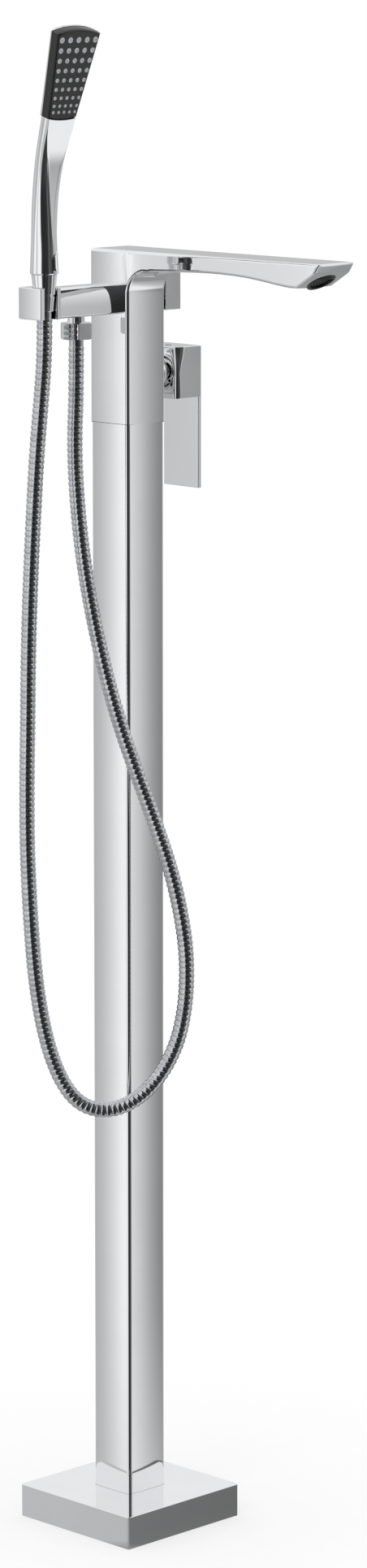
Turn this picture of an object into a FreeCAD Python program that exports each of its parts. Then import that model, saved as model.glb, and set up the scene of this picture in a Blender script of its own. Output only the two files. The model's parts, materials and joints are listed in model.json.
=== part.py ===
import FreeCAD, Part
import Sketcher
import math
import os
import re

# Floor standing bath filler with a square column, a flat spout, a side lever,
# a diverter knob and a hand shower on a side arm.
# Frame: origin on the floor under the column's axis, +Z up, +X along the spout,
# +Y towards the lever. Millimetres and degrees.

V = FreeCAD.Vector
doc = FreeCAD.newDocument("BathFiller")
sheet = doc.addObject("Spreadsheet::Sheet", "Sizes")

# ---------------------------------------------------------------- driving sizes

SIZES = [
    # floor plate and base cover
    ("plate_gap", 4), ("plate_thick", 6), ("plate_corner", 4),
    ("bolt_edge", 13), ("bolt_hole_dia", 9), ("supply_gap", 1),
    ("base_side", 123), ("base_tall", 26), ("base_wall", 2.5), ("base_corner", 2.5),
    # column
    ("column_side", 40), ("column_wall", 2), ("column_corner", 1.2), ("seam_level", 876.4),
    ("cover_gap", 0.4), ("gasket_thick", 0.8), ("gasket_inset", 0.3),
    ("spigot_tall", 50), ("spigot_wall", 3), ("spigot_gap", 0.1),
    ("grub_dia", 6), ("grub_level", 15), ("grub_hex", 3), ("grub_hex_deep", 2.4),
    # supply pipes inside the column
    ("pipe_dia", 11), ("pipe_bore", 8), ("pipe_offset_x", 7.5), ("pipe_offset_y", -6.5),
    ("pipe_socket_deep", 15), ("pipe_gap", 0.1), ("seal_wire", 1.2),
    # mixer body and spout
    ("body_side", 41), ("top_level", 1008.7), ("body_corner", 1.2),
    ("fillet_radius", 18), ("spout_reach", 220.6), ("spout_root_drop", 15.7),
    ("thin_setback", 92.6), ("thin_drop", 12.3), ("low_setback", 30.2), ("low_drop", 19),
    ("end_setback", 11.2), ("end_drop", 16.7), ("hollow_radius", 144), ("belly_radius", 27),
    ("channel_dia", 6.5), ("channel_drop", 6.4),
    # aerator
    ("aerator_setback", 20.1), ("aerator_dia", 23), ("aerator_tall", 8.5), ("aerator_show", 1.6),
    ("aerator_ring_wall", 2), ("aerator_gap", 0.1), ("aerator_mesh_dia", 1.9),
    ("aerator_mesh_thick", 2), ("aerator_mesh_pitch", 4.6), ("aerator_gasket_tall", 1.4),
    # cartridge and lever
    ("lever_level", 911.7), ("cavity_dia", 30), ("cavity_deep", 24.5),
    ("shell_gap", 0.1), ("shell_wall", 3), ("base_seal_thick", 3), ("port_dia", 5),
    ("port_circle", 12), ("disc_thick", 3), ("disc_dia", 22), ("slider_dia", 14),
    ("slider_travel", 3.5), ("carrier_dia", 20), ("carrier_gap", 0.3), ("carrier_neck_dia", 13),
    ("shell_cap", 3), ("nut_tall", 6), ("nut_bore", 16),
    ("pivot_depth", 6.5), ("pin_dia", 2.4), ("pin_inset", 0.3), ("stem_side", 7), ("stem_inner", 5), ("lever_gap", 0.05),
    ("dome_dia", 37), ("dome_tall", 9.5), ("dome_hole_dia", 24), ("dome_wall", 1.8),
    ("block_gap", 16.1), ("block_deep", 24), ("block_side", 40), ("block_round", 8.5),
    ("handle_plate_thick", 3.1), ("handle_drop", 90.7), ("handle_edge", 0.8),
    ("stem_socket_deep", 15), ("lever_grub_dia", 5), ("lever_grub_inset", 7.4),
    ("lever_grub_long", 6), ("lever_grub_sink", 1.2),
    # diverter
    ("diverter_level", 981), ("diverter_cavity_dia", 24), ("diverter_cavity_deep", 23.5),
    ("insert_gap", 0.1), ("spindle_dia", 10), ("spindle_gap", 0.05), ("knob_side", 40),
    ("knob_gap", 0.5), ("knob_deep", 17.3), ("knob_corner", 1), ("knob_bore_deep", 12),
    ("knob_grub_dia", 4), ("knob_grub_long", 6),
    # arm and holder
    ("arm_level", 971.5), ("arm_tall", 23), ("arm_deep", 22), ("arm_round", 2),
    ("arm_reach", 84), ("holder_side", 24.6), ("holder_end", 103.2),
    ("holder_tall", 24), ("hand_forward", 5), ("hand_inset", 10.8), ("slot_width", 13.6),
    ("nut_gap", 0.3), ("arm_nipple_dia", 14), ("arm_nipple_long", 14), ("arm_channel", 6.5),
    # hose outlet and hose
    ("outlet_reach", 54.5), ("neck_dia", 13), ("neck_tall", 5), ("outlet_bore", 6.5),
    ("outlet_tail_dia", 10), ("outlet_tail_long", 8), ("outlet_up_long", 7),
    ("hex_flats", 22.3), ("hex_tall", 12.3), ("washer_thick", 1.6),
    ("hose_dia", 12), ("hose_bore", 7.5), ("rib_depth", 0.9), ("rib_count", 180),
    # conical nut on the hand shower
    ("cone_show", 10), ("cone_tall", 28), ("cone_top_dia", 19.8), ("cone_base_dia", 13.8),
    ("groove_up", 11.6), ("groove_tall", 1.2), ("groove_deep", 0.7),
    ("hand_tail_dia", 10.5), ("hand_tail_long", 18), ("hand_bore", 6.5), ("thread_gap", 0.08),
    # hand shower
    ("hand_gap", 0.2), ("foot_dia", 21.6), ("grip_dia", 19.6), ("head_lean", 15),
    ("head_thick", 10), ("face_rise", 117), ("face_tall", 71), ("face_deep", 7.4),
    ("face_wall", 2.6), ("face_proud", 0.4), ("face_inset", 0.3), ("face_gap", 0.1),
    ("face_top_width", 44.5), ("face_low_width", 29.4), ("face_top_arc", 3.5),
    ("face_low_arc", 1.5), ("chamber_inset", 2), ("mat_thick", 0.8), ("way_rise", 36),
    ("nozzle_rows", 9), ("nozzle_columns", 5), ("nozzle_top_dia", 4.2), ("nozzle_low_dia", 2.4),
    ("nozzle_top_width", 34), ("nozzle_low_width", 22), ("nozzle_proud", 0.6),
    ("nozzle_low_edge", 6.5), ("nozzle_top_edge", 8.5),
]
for row, (alias, value) in enumerate(SIZES, start=1):
    sheet.set("A%d" % row, alias.replace("_", " "))
    sheet.set("B%d" % row, str(value))
    sheet.setAlias("B%d" % row, alias)
doc.recompute()


def size(alias):
    """The value of one driving size."""
    return float(getattr(sheet, alias))


def value_of(expression):
    """The value of an expression written with aliases of the sheet."""
    return float(sheet.evalExpression(expression))


def bound(expression):
    """The same expression as other objects see it, with each alias on the sheet."""
    text = expression
    for alias in sorted(ALIASES, key=len, reverse=True):
        text = ALIAS_PATTERN[alias].sub("Sizes." + alias, text)
    return text


ALIASES = [alias for alias, _ in SIZES]
ALIAS_PATTERN = {alias: re.compile(r"(?<![\w.])" + alias + r"(?!\w)") for alias in ALIASES}

NODES = []


def node(feature, name):
    """Gives a finished sub-part its own label and lists it for export."""
    feature.Label = name
    NODES.append(feature)
    return feature


# ---------------------------------------------------------------- Part helpers

TURN = {
    "+z": FreeCAD.Rotation(),
    "+x": FreeCAD.Rotation(V(0, 1, 0), 90),
    "+y": FreeCAD.Rotation(V(1, 0, 0), -90),
    "-y": FreeCAD.Rotation(V(1, 0, 0), 90),
}


def place(feature, at, axis="+z"):
    """Binds a feature's position to three expressions and turns its axis."""
    feature.Placement = FreeCAD.Placement(V(*[value_of(e) for e in at]), TURN[axis])
    for letter, expression in zip("xyz", at):
        feature.setExpression("Placement.Base." + letter, bound(expression))
    return feature


def box(name, extent, centre, low):
    """A box of the given length, width and height, centred in X and Y on centre, from low up."""
    solid = doc.addObject("Part::Box", name)
    for prop, expression in zip(("Length", "Width", "Height"), extent):
        solid.setExpression(prop, bound(expression))
    at = ("%s - (%s) / 2" % (centre[0], extent[0]), "%s - (%s) / 2" % (centre[1], extent[1]), low)
    return place(solid, at)


def cylinder(name, diameter, tall, at, axis="+z"):
    """A cylinder of the given diameter that grows from the point at along its axis."""
    solid = doc.addObject("Part::Cylinder", name)
    solid.setExpression("Radius", bound("(%s) / 2" % diameter))
    solid.setExpression("Height", bound(tall))
    return place(solid, at, axis)


def cone(name, low_diameter, high_diameter, tall, at, axis="+z"):
    solid = doc.addObject("Part::Cone", name)
    solid.setExpression("Radius1", bound("(%s) / 2" % low_diameter))
    solid.setExpression("Radius2", bound("(%s) / 2" % high_diameter))
    solid.setExpression("Height", bound(tall))
    return place(solid, at, axis)


def torus(name, ring_diameter, wire_diameter, at, axis="+z"):
    solid = doc.addObject("Part::Torus", name)
    solid.setExpression("Radius1", bound("(%s) / 2" % ring_diameter))
    solid.setExpression("Radius2", bound("(%s) / 2" % wire_diameter))
    return place(solid, at, axis)


def fuse(name, shapes):
    joined = doc.addObject("Part::MultiFuse", name)
    joined.Shapes = shapes
    return joined


def cut(name, base, tools):
    """The base without each of the tools, taken away one after another."""
    for index, tool in enumerate(tools, start=1):
        less = doc.addObject("Part::Cut", name if index == len(tools) else "%sStep%d" % (name, index))
        less.Base = base
        less.Tool = tool
        base = less
    return base


def hexagon(name, flats, tall, at, axis="+z"):
    """A hexagonal prism with a corner towards +X in its own frame."""
    prism = doc.addObject("Part::Prism", name)
    prism.Polygon = 6
    prism.setExpression("Circumradius", bound("(%s) / 2 / cos(30)" % flats))
    prism.setExpression("Height", bound(tall))
    return place(prism, at, axis)


# ---------------------------------------------------------------- sketch helpers


def new_body(name):
    return doc.addObject("PartDesign::Body", name)


def origin_plane(body, role):
    for feature in body.Origin.OriginFeatures:
        if feature.Role == role:
            return feature
    raise ValueError("no plane " + role)


def new_sketch(body, role, name, offset="0"):
    """A sketch on one of the body's own origin planes, moved along the plane's normal."""
    sketch = body.newObject("Sketcher::SketchObject", name)
    sketch.AttachmentSupport = [(origin_plane(body, role), "")]
    sketch.MapMode = "FlatFace"
    if offset != "0":
        sketch.setExpression("AttachmentOffset.Base.z", bound(offset))
    return sketch


def pin_point(sketch, element, end, at):
    """Holds one end of a sketch element at a point given by two expressions."""
    for kind, expression in zip(("DistanceX", "DistanceY"), at):
        index = sketch.addConstraint(
            Sketcher.Constraint(kind, -1, 1, element, end, value_of(expression)))
        sketch.setExpression("Constraints[%d]" % index, bound(expression))


def polygon(sketch, corners):
    """A closed outline of straight sides through corners given as pairs of expressions."""
    points = [V(value_of(x), value_of(y), 0) for x, y in corners]
    count = len(points)
    first = sketch.GeometryCount
    for i in range(count):
        sketch.addGeometry(Part.LineSegment(points[i], points[(i + 1) % count]), False)
    for i in range(count):
        following = first + (i + 1) % count
        sketch.addConstraint(Sketcher.Constraint("Coincident", first + i, 2, following, 1))
    for i in range(count):
        pin_point(sketch, first + i, 1, corners[i])


def rectangle(sketch, width, tall, centre=("0", "0")):
    left = "%s - (%s) / 2" % (centre[0], width)
    right = "%s + (%s) / 2" % (centre[0], width)
    low = "%s - (%s) / 2" % (centre[1], tall)
    high = "%s + (%s) / 2" % (centre[1], tall)
    polygon(sketch, [(left, low), (right, low), (right, high), (left, high)])


def circle(sketch, diameter, centre):
    """A circle held at a centre given by two expressions."""
    at = V(value_of(centre[0]), value_of(centre[1]), 0)
    index = sketch.addGeometry(Part.Circle(at, V(0, 0, 1), value_of(diameter) / 2), False)
    pin_point(sketch, index, 3, centre)
    held = sketch.addConstraint(Sketcher.Constraint("Diameter", index, value_of(diameter)))
    sketch.setExpression("Constraints[%d]" % held, bound(diameter))


def pad(body, sketch, name, length):
    feature = body.newObject("PartDesign::Pad", name)
    feature.Profile = sketch
    feature.setExpression("Length", bound(length))
    return feature


def pocket(body, sketch, name, depth, flip=False):
    """A pocket, which has to take material away."""
    doc.recompute()
    before = body.Shape.Volume
    feature = body.newObject("PartDesign::Pocket", name)
    feature.Profile = sketch
    feature.setExpression("Length", bound(depth))
    feature.Reversed = flip
    doc.recompute()
    if body.Shape.Volume >= before:
        raise ValueError(name + " takes nothing away")
    return feature


def round_edges(body, name, radius, wanted, kind="PartDesign::Fillet"):
    """Rounds the edges of the body's tip for which wanted(edge) is true."""
    doc.recompute()
    tip = body.Tip
    picked = ["Edge%d" % (i + 1) for i, edge in enumerate(tip.Shape.Edges) if wanted(edge)]
    if not picked:
        raise ValueError(name + " finds no edge")
    feature = body.newObject(kind, name)
    feature.Base = (tip, picked)
    feature.setExpression("Radius" if kind == "PartDesign::Fillet" else "Size", bound(radius))
    return feature


def runs_along(edge, letter):
    """True for a straight edge parallel to the axis x, y or z."""
    if not isinstance(edge.Curve, Part.Line):
        return False
    way = edge.Curve.Direction
    return abs(abs(getattr(way, letter)) - 1) < 1e-6


# ---------------------------------------------------------------- floor plate

PLATE_SIDE = "(base_side - 2 * base_wall - 2 * plate_gap)"
plate = new_body("FloorPlateBody")
outline = new_sketch(plate, "XY_Plane", "PlateOutline")
rectangle(outline, PLATE_SIDE, PLATE_SIDE)
pad(plate, outline, "PlatePad", "plate_thick")
round_edges(plate, "PlateCorners", "plate_corner", lambda e: runs_along(e, "z"))
holes = new_sketch(plate, "XY_Plane", "PlateHoles")
for sx in (-1, 1):
    for sy in (-1, 1):
        circle(holes, "bolt_hole_dia", ("%d * (%s / 2 - bolt_edge)" % (sx, PLATE_SIDE),
                                        "%d * (%s / 2 - bolt_edge)" % (sy, PLATE_SIDE)))
    circle(holes, "pipe_dia + 2 * supply_gap", ("%d * pipe_offset_x" % sx, "pipe_offset_y"))
pocket(plate, holes, "PlateHolesCut", "plate_thick", flip=True)
node(plate, "floor_plate")

# ---------------------------------------------------------------- base cover

# An upside-down square tray that hides the plate, with a square window for the column.
WINDOW = "column_side + 2 * cover_gap"
cover = new_body("BaseCoverBody")
outline = new_sketch(cover, "XY_Plane", "CoverOutline")
rectangle(outline, "base_side", "base_side")
pad(cover, outline, "CoverPad", "base_tall")
round_edges(cover, "CoverCorners", "base_corner", lambda e: runs_along(e, "z"))
hollow = new_sketch(cover, "XY_Plane", "CoverHollow")
rectangle(hollow, "base_side - 2 * base_wall", "base_side - 2 * base_wall")
pocket(cover, hollow, "CoverHollowCut", "base_tall - base_wall", flip=True)
window = new_sketch(cover, "XY_Plane", "CoverWindow")
rectangle(window, WINDOW, WINDOW)
pocket(cover, window, "CoverWindowCut", "base_tall", flip=True)
node(cover, "base_cover")

# ---------------------------------------------------------------- column and its socket

COLUMN_INNER = "column_side - 2 * column_wall"
TUBE_TOP = "seam_level - gasket_thick"
column = new_body("ColumnBody")
section = new_sketch(column, "XY_Plane", "ColumnSection", "plate_thick")
rectangle(section, "column_side", "column_side")
pad(column, section, "ColumnPad", TUBE_TOP + " - plate_thick")
round_edges(column, "ColumnCorners", "column_corner", lambda e: runs_along(e, "z"))
inner = new_sketch(column, "XY_Plane", "ColumnInner", "plate_thick")
rectangle(inner, COLUMN_INNER, COLUMN_INNER)
pocket(column, inner, "ColumnInnerCut", TUBE_TOP + " - plate_thick", flip=True)
screw_holes = [
    cylinder("ColumnGrubHole%d" % i, "grub_dia", "column_wall + 1",
             ("0", "%d * (column_side / 2 - column_wall - 0.5)" % side, "grub_level"), axis)
    for i, (side, axis) in enumerate(((1, "+y"), (-1, "-y")))
]
node(cut("ColumnTube", column, screw_holes), "column_tube")

SPIGOT_SIDE = "column_side - 2 * column_wall - 2 * spigot_gap"
spigot = new_body("SpigotBody")
section = new_sketch(spigot, "XY_Plane", "SpigotSection", "plate_thick")
rectangle(section, SPIGOT_SIDE, SPIGOT_SIDE)
pad(spigot, section, "SpigotPad", "spigot_tall")
inner = new_sketch(spigot, "XY_Plane", "SpigotInner", "plate_thick")
SPIGOT_INNER = SPIGOT_SIDE + " - 2 * spigot_wall"
rectangle(inner, SPIGOT_INNER, SPIGOT_INNER)
pocket(spigot, inner, "SpigotInnerCut", "spigot_tall", flip=True)
spigot_holes = [
    cylinder("SpigotGrubHole%d" % i, "grub_dia", "spigot_wall + 1",
             ("0", "%d * (column_side / 2 - column_wall - spigot_gap - spigot_wall - 0.5)" % side,
              "grub_level"), axis)
    for i, (side, axis) in enumerate(((1, "+y"), (-1, "-y")))
]
node(cut("ColumnSpigot", spigot, spigot_holes), "column_spigot")

# Two grub screws hold the column on its socket. They end flush with the column's faces.
for i, (side, axis, name) in enumerate(((1, "+y", "front"), (-1, "-y", "rear"))):
    long = "column_wall + spigot_gap + spigot_wall"
    screw = cylinder("GrubShank%d" % i, "grub_dia", long,
                     ("0", "%d * (column_side / 2 - (%s))" % (side, long), "grub_level"), axis)
    key = hexagon("GrubKey%d" % i, "grub_hex", "grub_hex_deep",
                  ("0", "%d * (column_side / 2 - grub_hex_deep)" % side, "grub_level"), axis)
    node(cut("ColumnGrub%d" % i, screw, [key]), "column_grub_screw_%d" % (i + 1))

# ---------------------------------------------------------------- supply pipes

PIPE_TOP = "seam_level + pipe_socket_deep"
for side, name in ((-1, "hot"), (1, "cold")):
    at_x = "%d * pipe_offset_x" % side
    pipe = cylinder("Pipe" + name, "pipe_dia", PIPE_TOP, (at_x, "pipe_offset_y", "0"))
    bore = cylinder("PipeBore" + name, "pipe_bore", PIPE_TOP + " + 2", (at_x, "pipe_offset_y", "-1"))
    groove = torus("PipeGroove" + name, "pipe_dia + 2 * pipe_gap - seal_wire - 0.02", "seal_wire + 0.04",
                   (at_x, "pipe_offset_y", "seam_level + pipe_socket_deep / 2"))
    node(cut("Riser" + name, pipe, [bore, groove]), "riser_pipe_" + name)
    ring = torus("Seal" + name, "pipe_dia + 2 * pipe_gap - seal_wire - 0.02", "seal_wire",
                 (at_x, "pipe_offset_y", "seam_level + pipe_socket_deep / 2"))
    node(ring, "riser_seal_" + name)

# ---------------------------------------------------------------- mixer body and spout

HALF = "body_side / 2"
THIN_X = "spout_reach - thin_setback"
LOW_X = "spout_reach - low_setback"
AERATOR_X = "spout_reach - aerator_setback"
CAVITY_FLOOR = "body_side / 2 - cavity_deep"
DIVERTER_FLOOR = "body_side / 2 - diverter_cavity_deep"
SPOUT_ROOT = "top_level - spout_root_drop"

# Side outline of the casting: upper body, concave root, underside, slanted end.
casting = new_body("CastingBody")
profile = new_sketch(casting, "XZ_Plane", "CastingProfile", "-body_side / 2")
polygon(profile, [
    ("-body_side / 2", "seam_level"),
    (HALF, "seam_level"),
    (HALF, SPOUT_ROOT),
    (THIN_X, "top_level - thin_drop"),
    (LOW_X, "top_level - low_drop"),
    ("spout_reach - end_setback", "top_level - end_drop"),
    ("spout_reach", "top_level"),
    ("-body_side / 2", "top_level"),
])
pad(casting, profile, "CastingPad", "body_side")
doc.recompute()


def crosses_at(edge, x, z):
    """True for an edge along Y through the point x, z."""
    mid = edge.CenterOfMass
    return runs_along(edge, "y") and abs(mid.x - x) < 0.1 and abs(mid.z - z) < 0.1


round_edges(casting, "SpoutRoot", "fillet_radius",
            lambda e: crosses_at(e, size("body_side") / 2, value_of(SPOUT_ROOT)))
round_edges(casting, "SpoutHollow", "hollow_radius",
            lambda e: crosses_at(e, value_of(THIN_X), value_of("top_level - thin_drop")))
round_edges(casting, "SpoutBelly", "belly_radius",
            lambda e: crosses_at(e, value_of(LOW_X), value_of("top_level - low_drop")))


def upright_corner(edge):
    """True for the upper body's own four upright edges."""
    return runs_along(edge, "z") and edge.BoundBox.ZMin < size("seam_level") + 0.1


round_edges(casting, "BodyCorners", "body_corner", upright_corner)

pipe_sockets = [
    cylinder("PipeSocket%d" % i, "pipe_dia + 2 * pipe_gap", "pipe_socket_deep",
             ("%d * pipe_offset_x" % side, "pipe_offset_y", "seam_level"))
    for i, side in enumerate((-1, 1))
]
pipe_ports = [
    cylinder("PipePort%d" % i, "port_dia", "lever_level - seam_level - pipe_socket_deep + 1",
             ("%d * port_circle / 2" % side, CAVITY_FLOOR + " - 3", "seam_level + pipe_socket_deep - 1"))
    for i, side in enumerate((-1, 1))
]
inlet_ports = [
    cylinder("InletPort%d" % i, "port_dia", "4",
             ("%d * port_circle / 2" % side, CAVITY_FLOOR + " - 3", "lever_level"), "+y")
    for i, side in enumerate((-1, 1))
]
outlet_port = cylinder("OutletPort", "port_dia", "5",
                       ("0", CAVITY_FLOOR + " - 4", "lever_level + port_circle / 2"), "+y")
riser_way = cylinder("MixedWay", "port_dia", "diverter_level - lever_level - port_circle / 2",
                     ("0", CAVITY_FLOOR + " - 4", "lever_level + port_circle / 2"))
diverter_way = cylinder("DiverterWay", "port_dia", "7",
                        ("0", CAVITY_FLOOR + " - 4", "diverter_level - 2"), "+y")
cavity = cylinder("CartridgeCavity", "cavity_dia", "cavity_deep + 1",
                  ("0", CAVITY_FLOOR, "lever_level"), "+y")
diverter_cavity = cylinder("DiverterCavity", "diverter_cavity_dia", "diverter_cavity_deep + 1",
                           ("0", DIVERTER_FLOOR, "diverter_level"), "+y")
spout_up = cylinder("SpoutUp", "port_dia", "top_level - channel_drop - diverter_level",
                    ("0", "0", "diverter_level"))
spout_channel = cylinder("SpoutChannel", "channel_dia", AERATOR_X + " + 2",
                         ("-2", "0", "top_level - channel_drop"), "+x")
arm_way = cylinder("ArmWay", "arm_channel", "body_side / 2 + 2",
                   ("0", "-body_side / 2 - 1", "arm_level"), "+y")
arm_thread = cylinder("ArmThread", "arm_nipple_dia + 0.04", "arm_nipple_long / 2 + 1",
                      ("0", "-body_side / 2 - 1", "arm_level"), "+y")
AERATOR_LOW = "top_level - low_drop - aerator_show"
aerator_seat = cylinder("AeratorSeat", "aerator_dia + 2 * aerator_gap",
                        "aerator_tall + aerator_gasket_tall",
                        (AERATOR_X, "0", AERATOR_LOW))
aerator_way = cylinder("AeratorWay", "channel_dia", "top_level - channel_drop - (%s)" % AERATOR_LOW,
                       (AERATOR_X, "0", AERATOR_LOW))
body_cuts = pipe_sockets + pipe_ports + inlet_ports + [
    outlet_port, riser_way, diverter_way, cavity, diverter_cavity, spout_up, spout_channel,
    arm_way, arm_thread, aerator_seat, aerator_way]
node(cut("MixerBody", casting, body_cuts), "mixer_body")

gasket = new_body("GasketBody")
section = new_sketch(gasket, "XY_Plane", "GasketSection", TUBE_TOP)
rectangle(section, "column_side - 2 * gasket_inset", "column_side - 2 * gasket_inset")
rectangle(section, COLUMN_INNER, COLUMN_INNER)
pad(gasket, section, "GasketPad", "gasket_thick")
node(gasket, "body_gasket")

# ---------------------------------------------------------------- aerator

aerator_at = (AERATOR_X, "0", AERATOR_LOW)
housing = cylinder("AeratorOuter", "aerator_dia", "aerator_tall", aerator_at)
AERATOR_INNER = "aerator_dia - 2 * aerator_ring_wall"
housing_bore = cylinder("AeratorInner", AERATOR_INNER, "aerator_tall + 2",
                        (AERATOR_X, "0", AERATOR_LOW + " - 1"))
node(cut("AeratorHousing", housing, [housing_bore]), "aerator_housing")

insert = cylinder("InsertDisc", AERATOR_INNER, "aerator_mesh_thick",
                  (AERATOR_X, "0", AERATOR_LOW + " + 1.5"))
steps = int(size("aerator_dia") / 2 / size("aerator_mesh_pitch"))
mesh_holes = []
for i in range(-steps, steps + 1):
    for j in range(-steps, steps + 1):
        reach = math.hypot(i, j) * size("aerator_mesh_pitch") + size("aerator_mesh_dia")
        if reach < value_of(AERATOR_INNER) / 2:
            mesh_holes.append(cylinder(
                "MeshHole_%d_%d" % (i + steps, j + steps), "aerator_mesh_dia", "aerator_mesh_thick + 2",
                ("%s + %d * aerator_mesh_pitch" % (AERATOR_X, i), "%d * aerator_mesh_pitch" % j,
                 AERATOR_LOW + " + 0.5")))
node(cut("AeratorInsert", insert, mesh_holes), "aerator_insert")

ring = cylinder("AeratorGasketOuter", "aerator_dia", "aerator_gasket_tall",
                (AERATOR_X, "0", AERATOR_LOW + " + aerator_tall"))
hole = cylinder("AeratorGasketInner", AERATOR_INNER, "aerator_gasket_tall + 2",
                (AERATOR_X, "0", AERATOR_LOW + " + aerator_tall - 1"))
node(cut("AeratorGasket", ring, [hole]), "aerator_gasket")

# ---------------------------------------------------------------- ceramic cartridge

SHELL_DIA = "cavity_dia - 2 * shell_gap"
SHELL_BORE = "cavity_dia - 2 * shell_gap - 2 * shell_wall"
FIXED_AT = CAVITY_FLOOR + " + base_seal_thick"
SLIDER_AT = FIXED_AT + " + disc_thick + lever_gap"
CARRIER_AT = SLIDER_AT + " + disc_thick + lever_gap"
SHELL_END = "body_side / 2 - nut_tall / 2"
CARRIER_END = SHELL_END + " - shell_cap - carrier_gap"

seal_disc = cylinder("BaseSealDisc", SHELL_DIA, "base_seal_thick", ("0", CAVITY_FLOOR, "lever_level"), "+y")


def port_holes(prefix, start, length):
    """Two inlets and one outlet through a disc of the cartridge."""
    spots = [("-port_circle / 2", "lever_level"), ("port_circle / 2", "lever_level"),
             ("0", "lever_level + port_circle / 2")]
    return [cylinder(prefix + str(i), "port_dia", length + " + 2", (x, start + " - 1", z), "+y")
            for i, (x, z) in enumerate(spots)]


node(cut("BaseSeal", seal_disc, port_holes("SealPort", CAVITY_FLOOR, "base_seal_thick")),
     "cartridge_base_seal")

fixed = cylinder("FixedDiscSolid", "disc_dia", "disc_thick", ("0", FIXED_AT, "lever_level"), "+y")
node(cut("FixedDisc", fixed, port_holes("DiscPort", FIXED_AT, "disc_thick")), "ceramic_fixed_disc")

slider = cylinder("SliderSolid", "slider_dia", "disc_thick", ("0", SLIDER_AT, "lever_level - 1"), "+y")
slot = cylinder("SliderSlot", "port_dia", "disc_thick / 2 + 1",
                ("0", SLIDER_AT + " - 1", "lever_level - 1"), "+y")
node(cut("SlidingDisc", slider, [slot]), "ceramic_sliding_disc")

shell_outer = cylinder("ShellOuter", SHELL_DIA, SHELL_END + " - (" + FIXED_AT + ")",
                       ("0", FIXED_AT, "lever_level"), "+y")
shell_hollow = cylinder("ShellHollow", SHELL_BORE, SHELL_END + " - shell_cap - (" + FIXED_AT + ") + 1",
                        ("0", FIXED_AT + " - 1", "lever_level"), "+y")
shell_mouth = cylinder("ShellMouth", "carrier_neck_dia + 2 * lever_gap", "shell_cap + 2",
                       ("0", SHELL_END + " - shell_cap - 1", "lever_level"), "+y")
node(cut("CartridgeShell", shell_outer, [shell_hollow, shell_mouth]), "cartridge_shell")

# The carrier turns in the shell and holds the lever's stem between its cheeks.
carrier_disc = cylinder("CarrierDisc", "carrier_dia", CARRIER_END + " - (" + CARRIER_AT + ")",
                        ("0", CARRIER_AT, "lever_level"), "+y")
carrier_neck = cylinder("CarrierNeck", "carrier_neck_dia", "body_side / 2 + 1 - (" + CARRIER_AT + ")",
                        ("0", CARRIER_AT, "lever_level"), "+y")
carrier_slot = box("CarrierSlot",
                   ("stem_inner + 2 * lever_gap", "body_side", "stem_inner + 2 * slider_travel"),
                   ("0", "body_side / 2"), "lever_level - stem_inner / 2 - slider_travel")
PIVOT_Y = "(body_side / 2 - pivot_depth)"


def pin_hole(name, gap, length):
    """A round way along X through the lever's pivot."""
    return cylinder(name, "pin_dia + 2 * " + gap, length,
                    ("-(%s) / 2" % length, PIVOT_Y, "lever_level"), "+x")


node(cut("CartridgeCarrier", fuse("CarrierSolid", [carrier_disc, carrier_neck]),
         [carrier_slot, pin_hole("CarrierPinHole", "0.01", "carrier_dia + 2")]), "cartridge_carrier")
node(pin_hole("PinRod", "0", "carrier_neck_dia - 2 * pin_inset"), "lever_pin")

nut_outer = cylinder("NutOuter", SHELL_DIA, "nut_tall", ("0", SHELL_END, "lever_level"), "+y")
nut_bore = cylinder("NutBore", "nut_bore", "nut_tall + 2", ("0", SHELL_END + " - 1", "lever_level"), "+y")
node(cut("CartridgeNut", nut_outer, [nut_bore]), "cartridge_nut")

# Dome over the nut: a hollow turned cover with a wide mouth for the stem.
dome = new_body("DomeBody")
turned = new_sketch(dome, "YZ_Plane", "DomeSection")
LEVER = "lever_level"
polygon(turned, [
    (HALF, LEVER + " + dome_dia / 2 - dome_wall"),
    (HALF, LEVER + " + dome_dia / 2"),
    (HALF + " + dome_tall - 3.5", LEVER + " + dome_dia / 2 - 1"),
    (HALF + " + dome_tall", LEVER + " + dome_hole_dia / 2 + 1"),
    (HALF + " + dome_tall", LEVER + " + dome_hole_dia / 2"),
    (HALF + " + dome_tall - dome_wall", LEVER + " + dome_hole_dia / 2"),
    (HALF + " + dome_tall - dome_wall - 2.5", LEVER + " + dome_dia / 2 - 1 - dome_wall"),
])
axis_index = turned.addGeometry(Part.LineSegment(V(0, size("lever_level"), 0),
                                                 V(10, size("lever_level"), 0)), True)
pin_point(turned, axis_index, 1, ("0", "lever_level"))
pin_point(turned, axis_index, 2, ("10", "lever_level"))
doc.recompute()
turn = dome.newObject("PartDesign::Revolution", "DomeTurn")
turn.Profile = turned
turn.ReferenceAxis = (turned, ["Axis0"])
turn.Angle = 360
node(dome, "lever_dome")

# ---------------------------------------------------------------- lever handle

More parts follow.
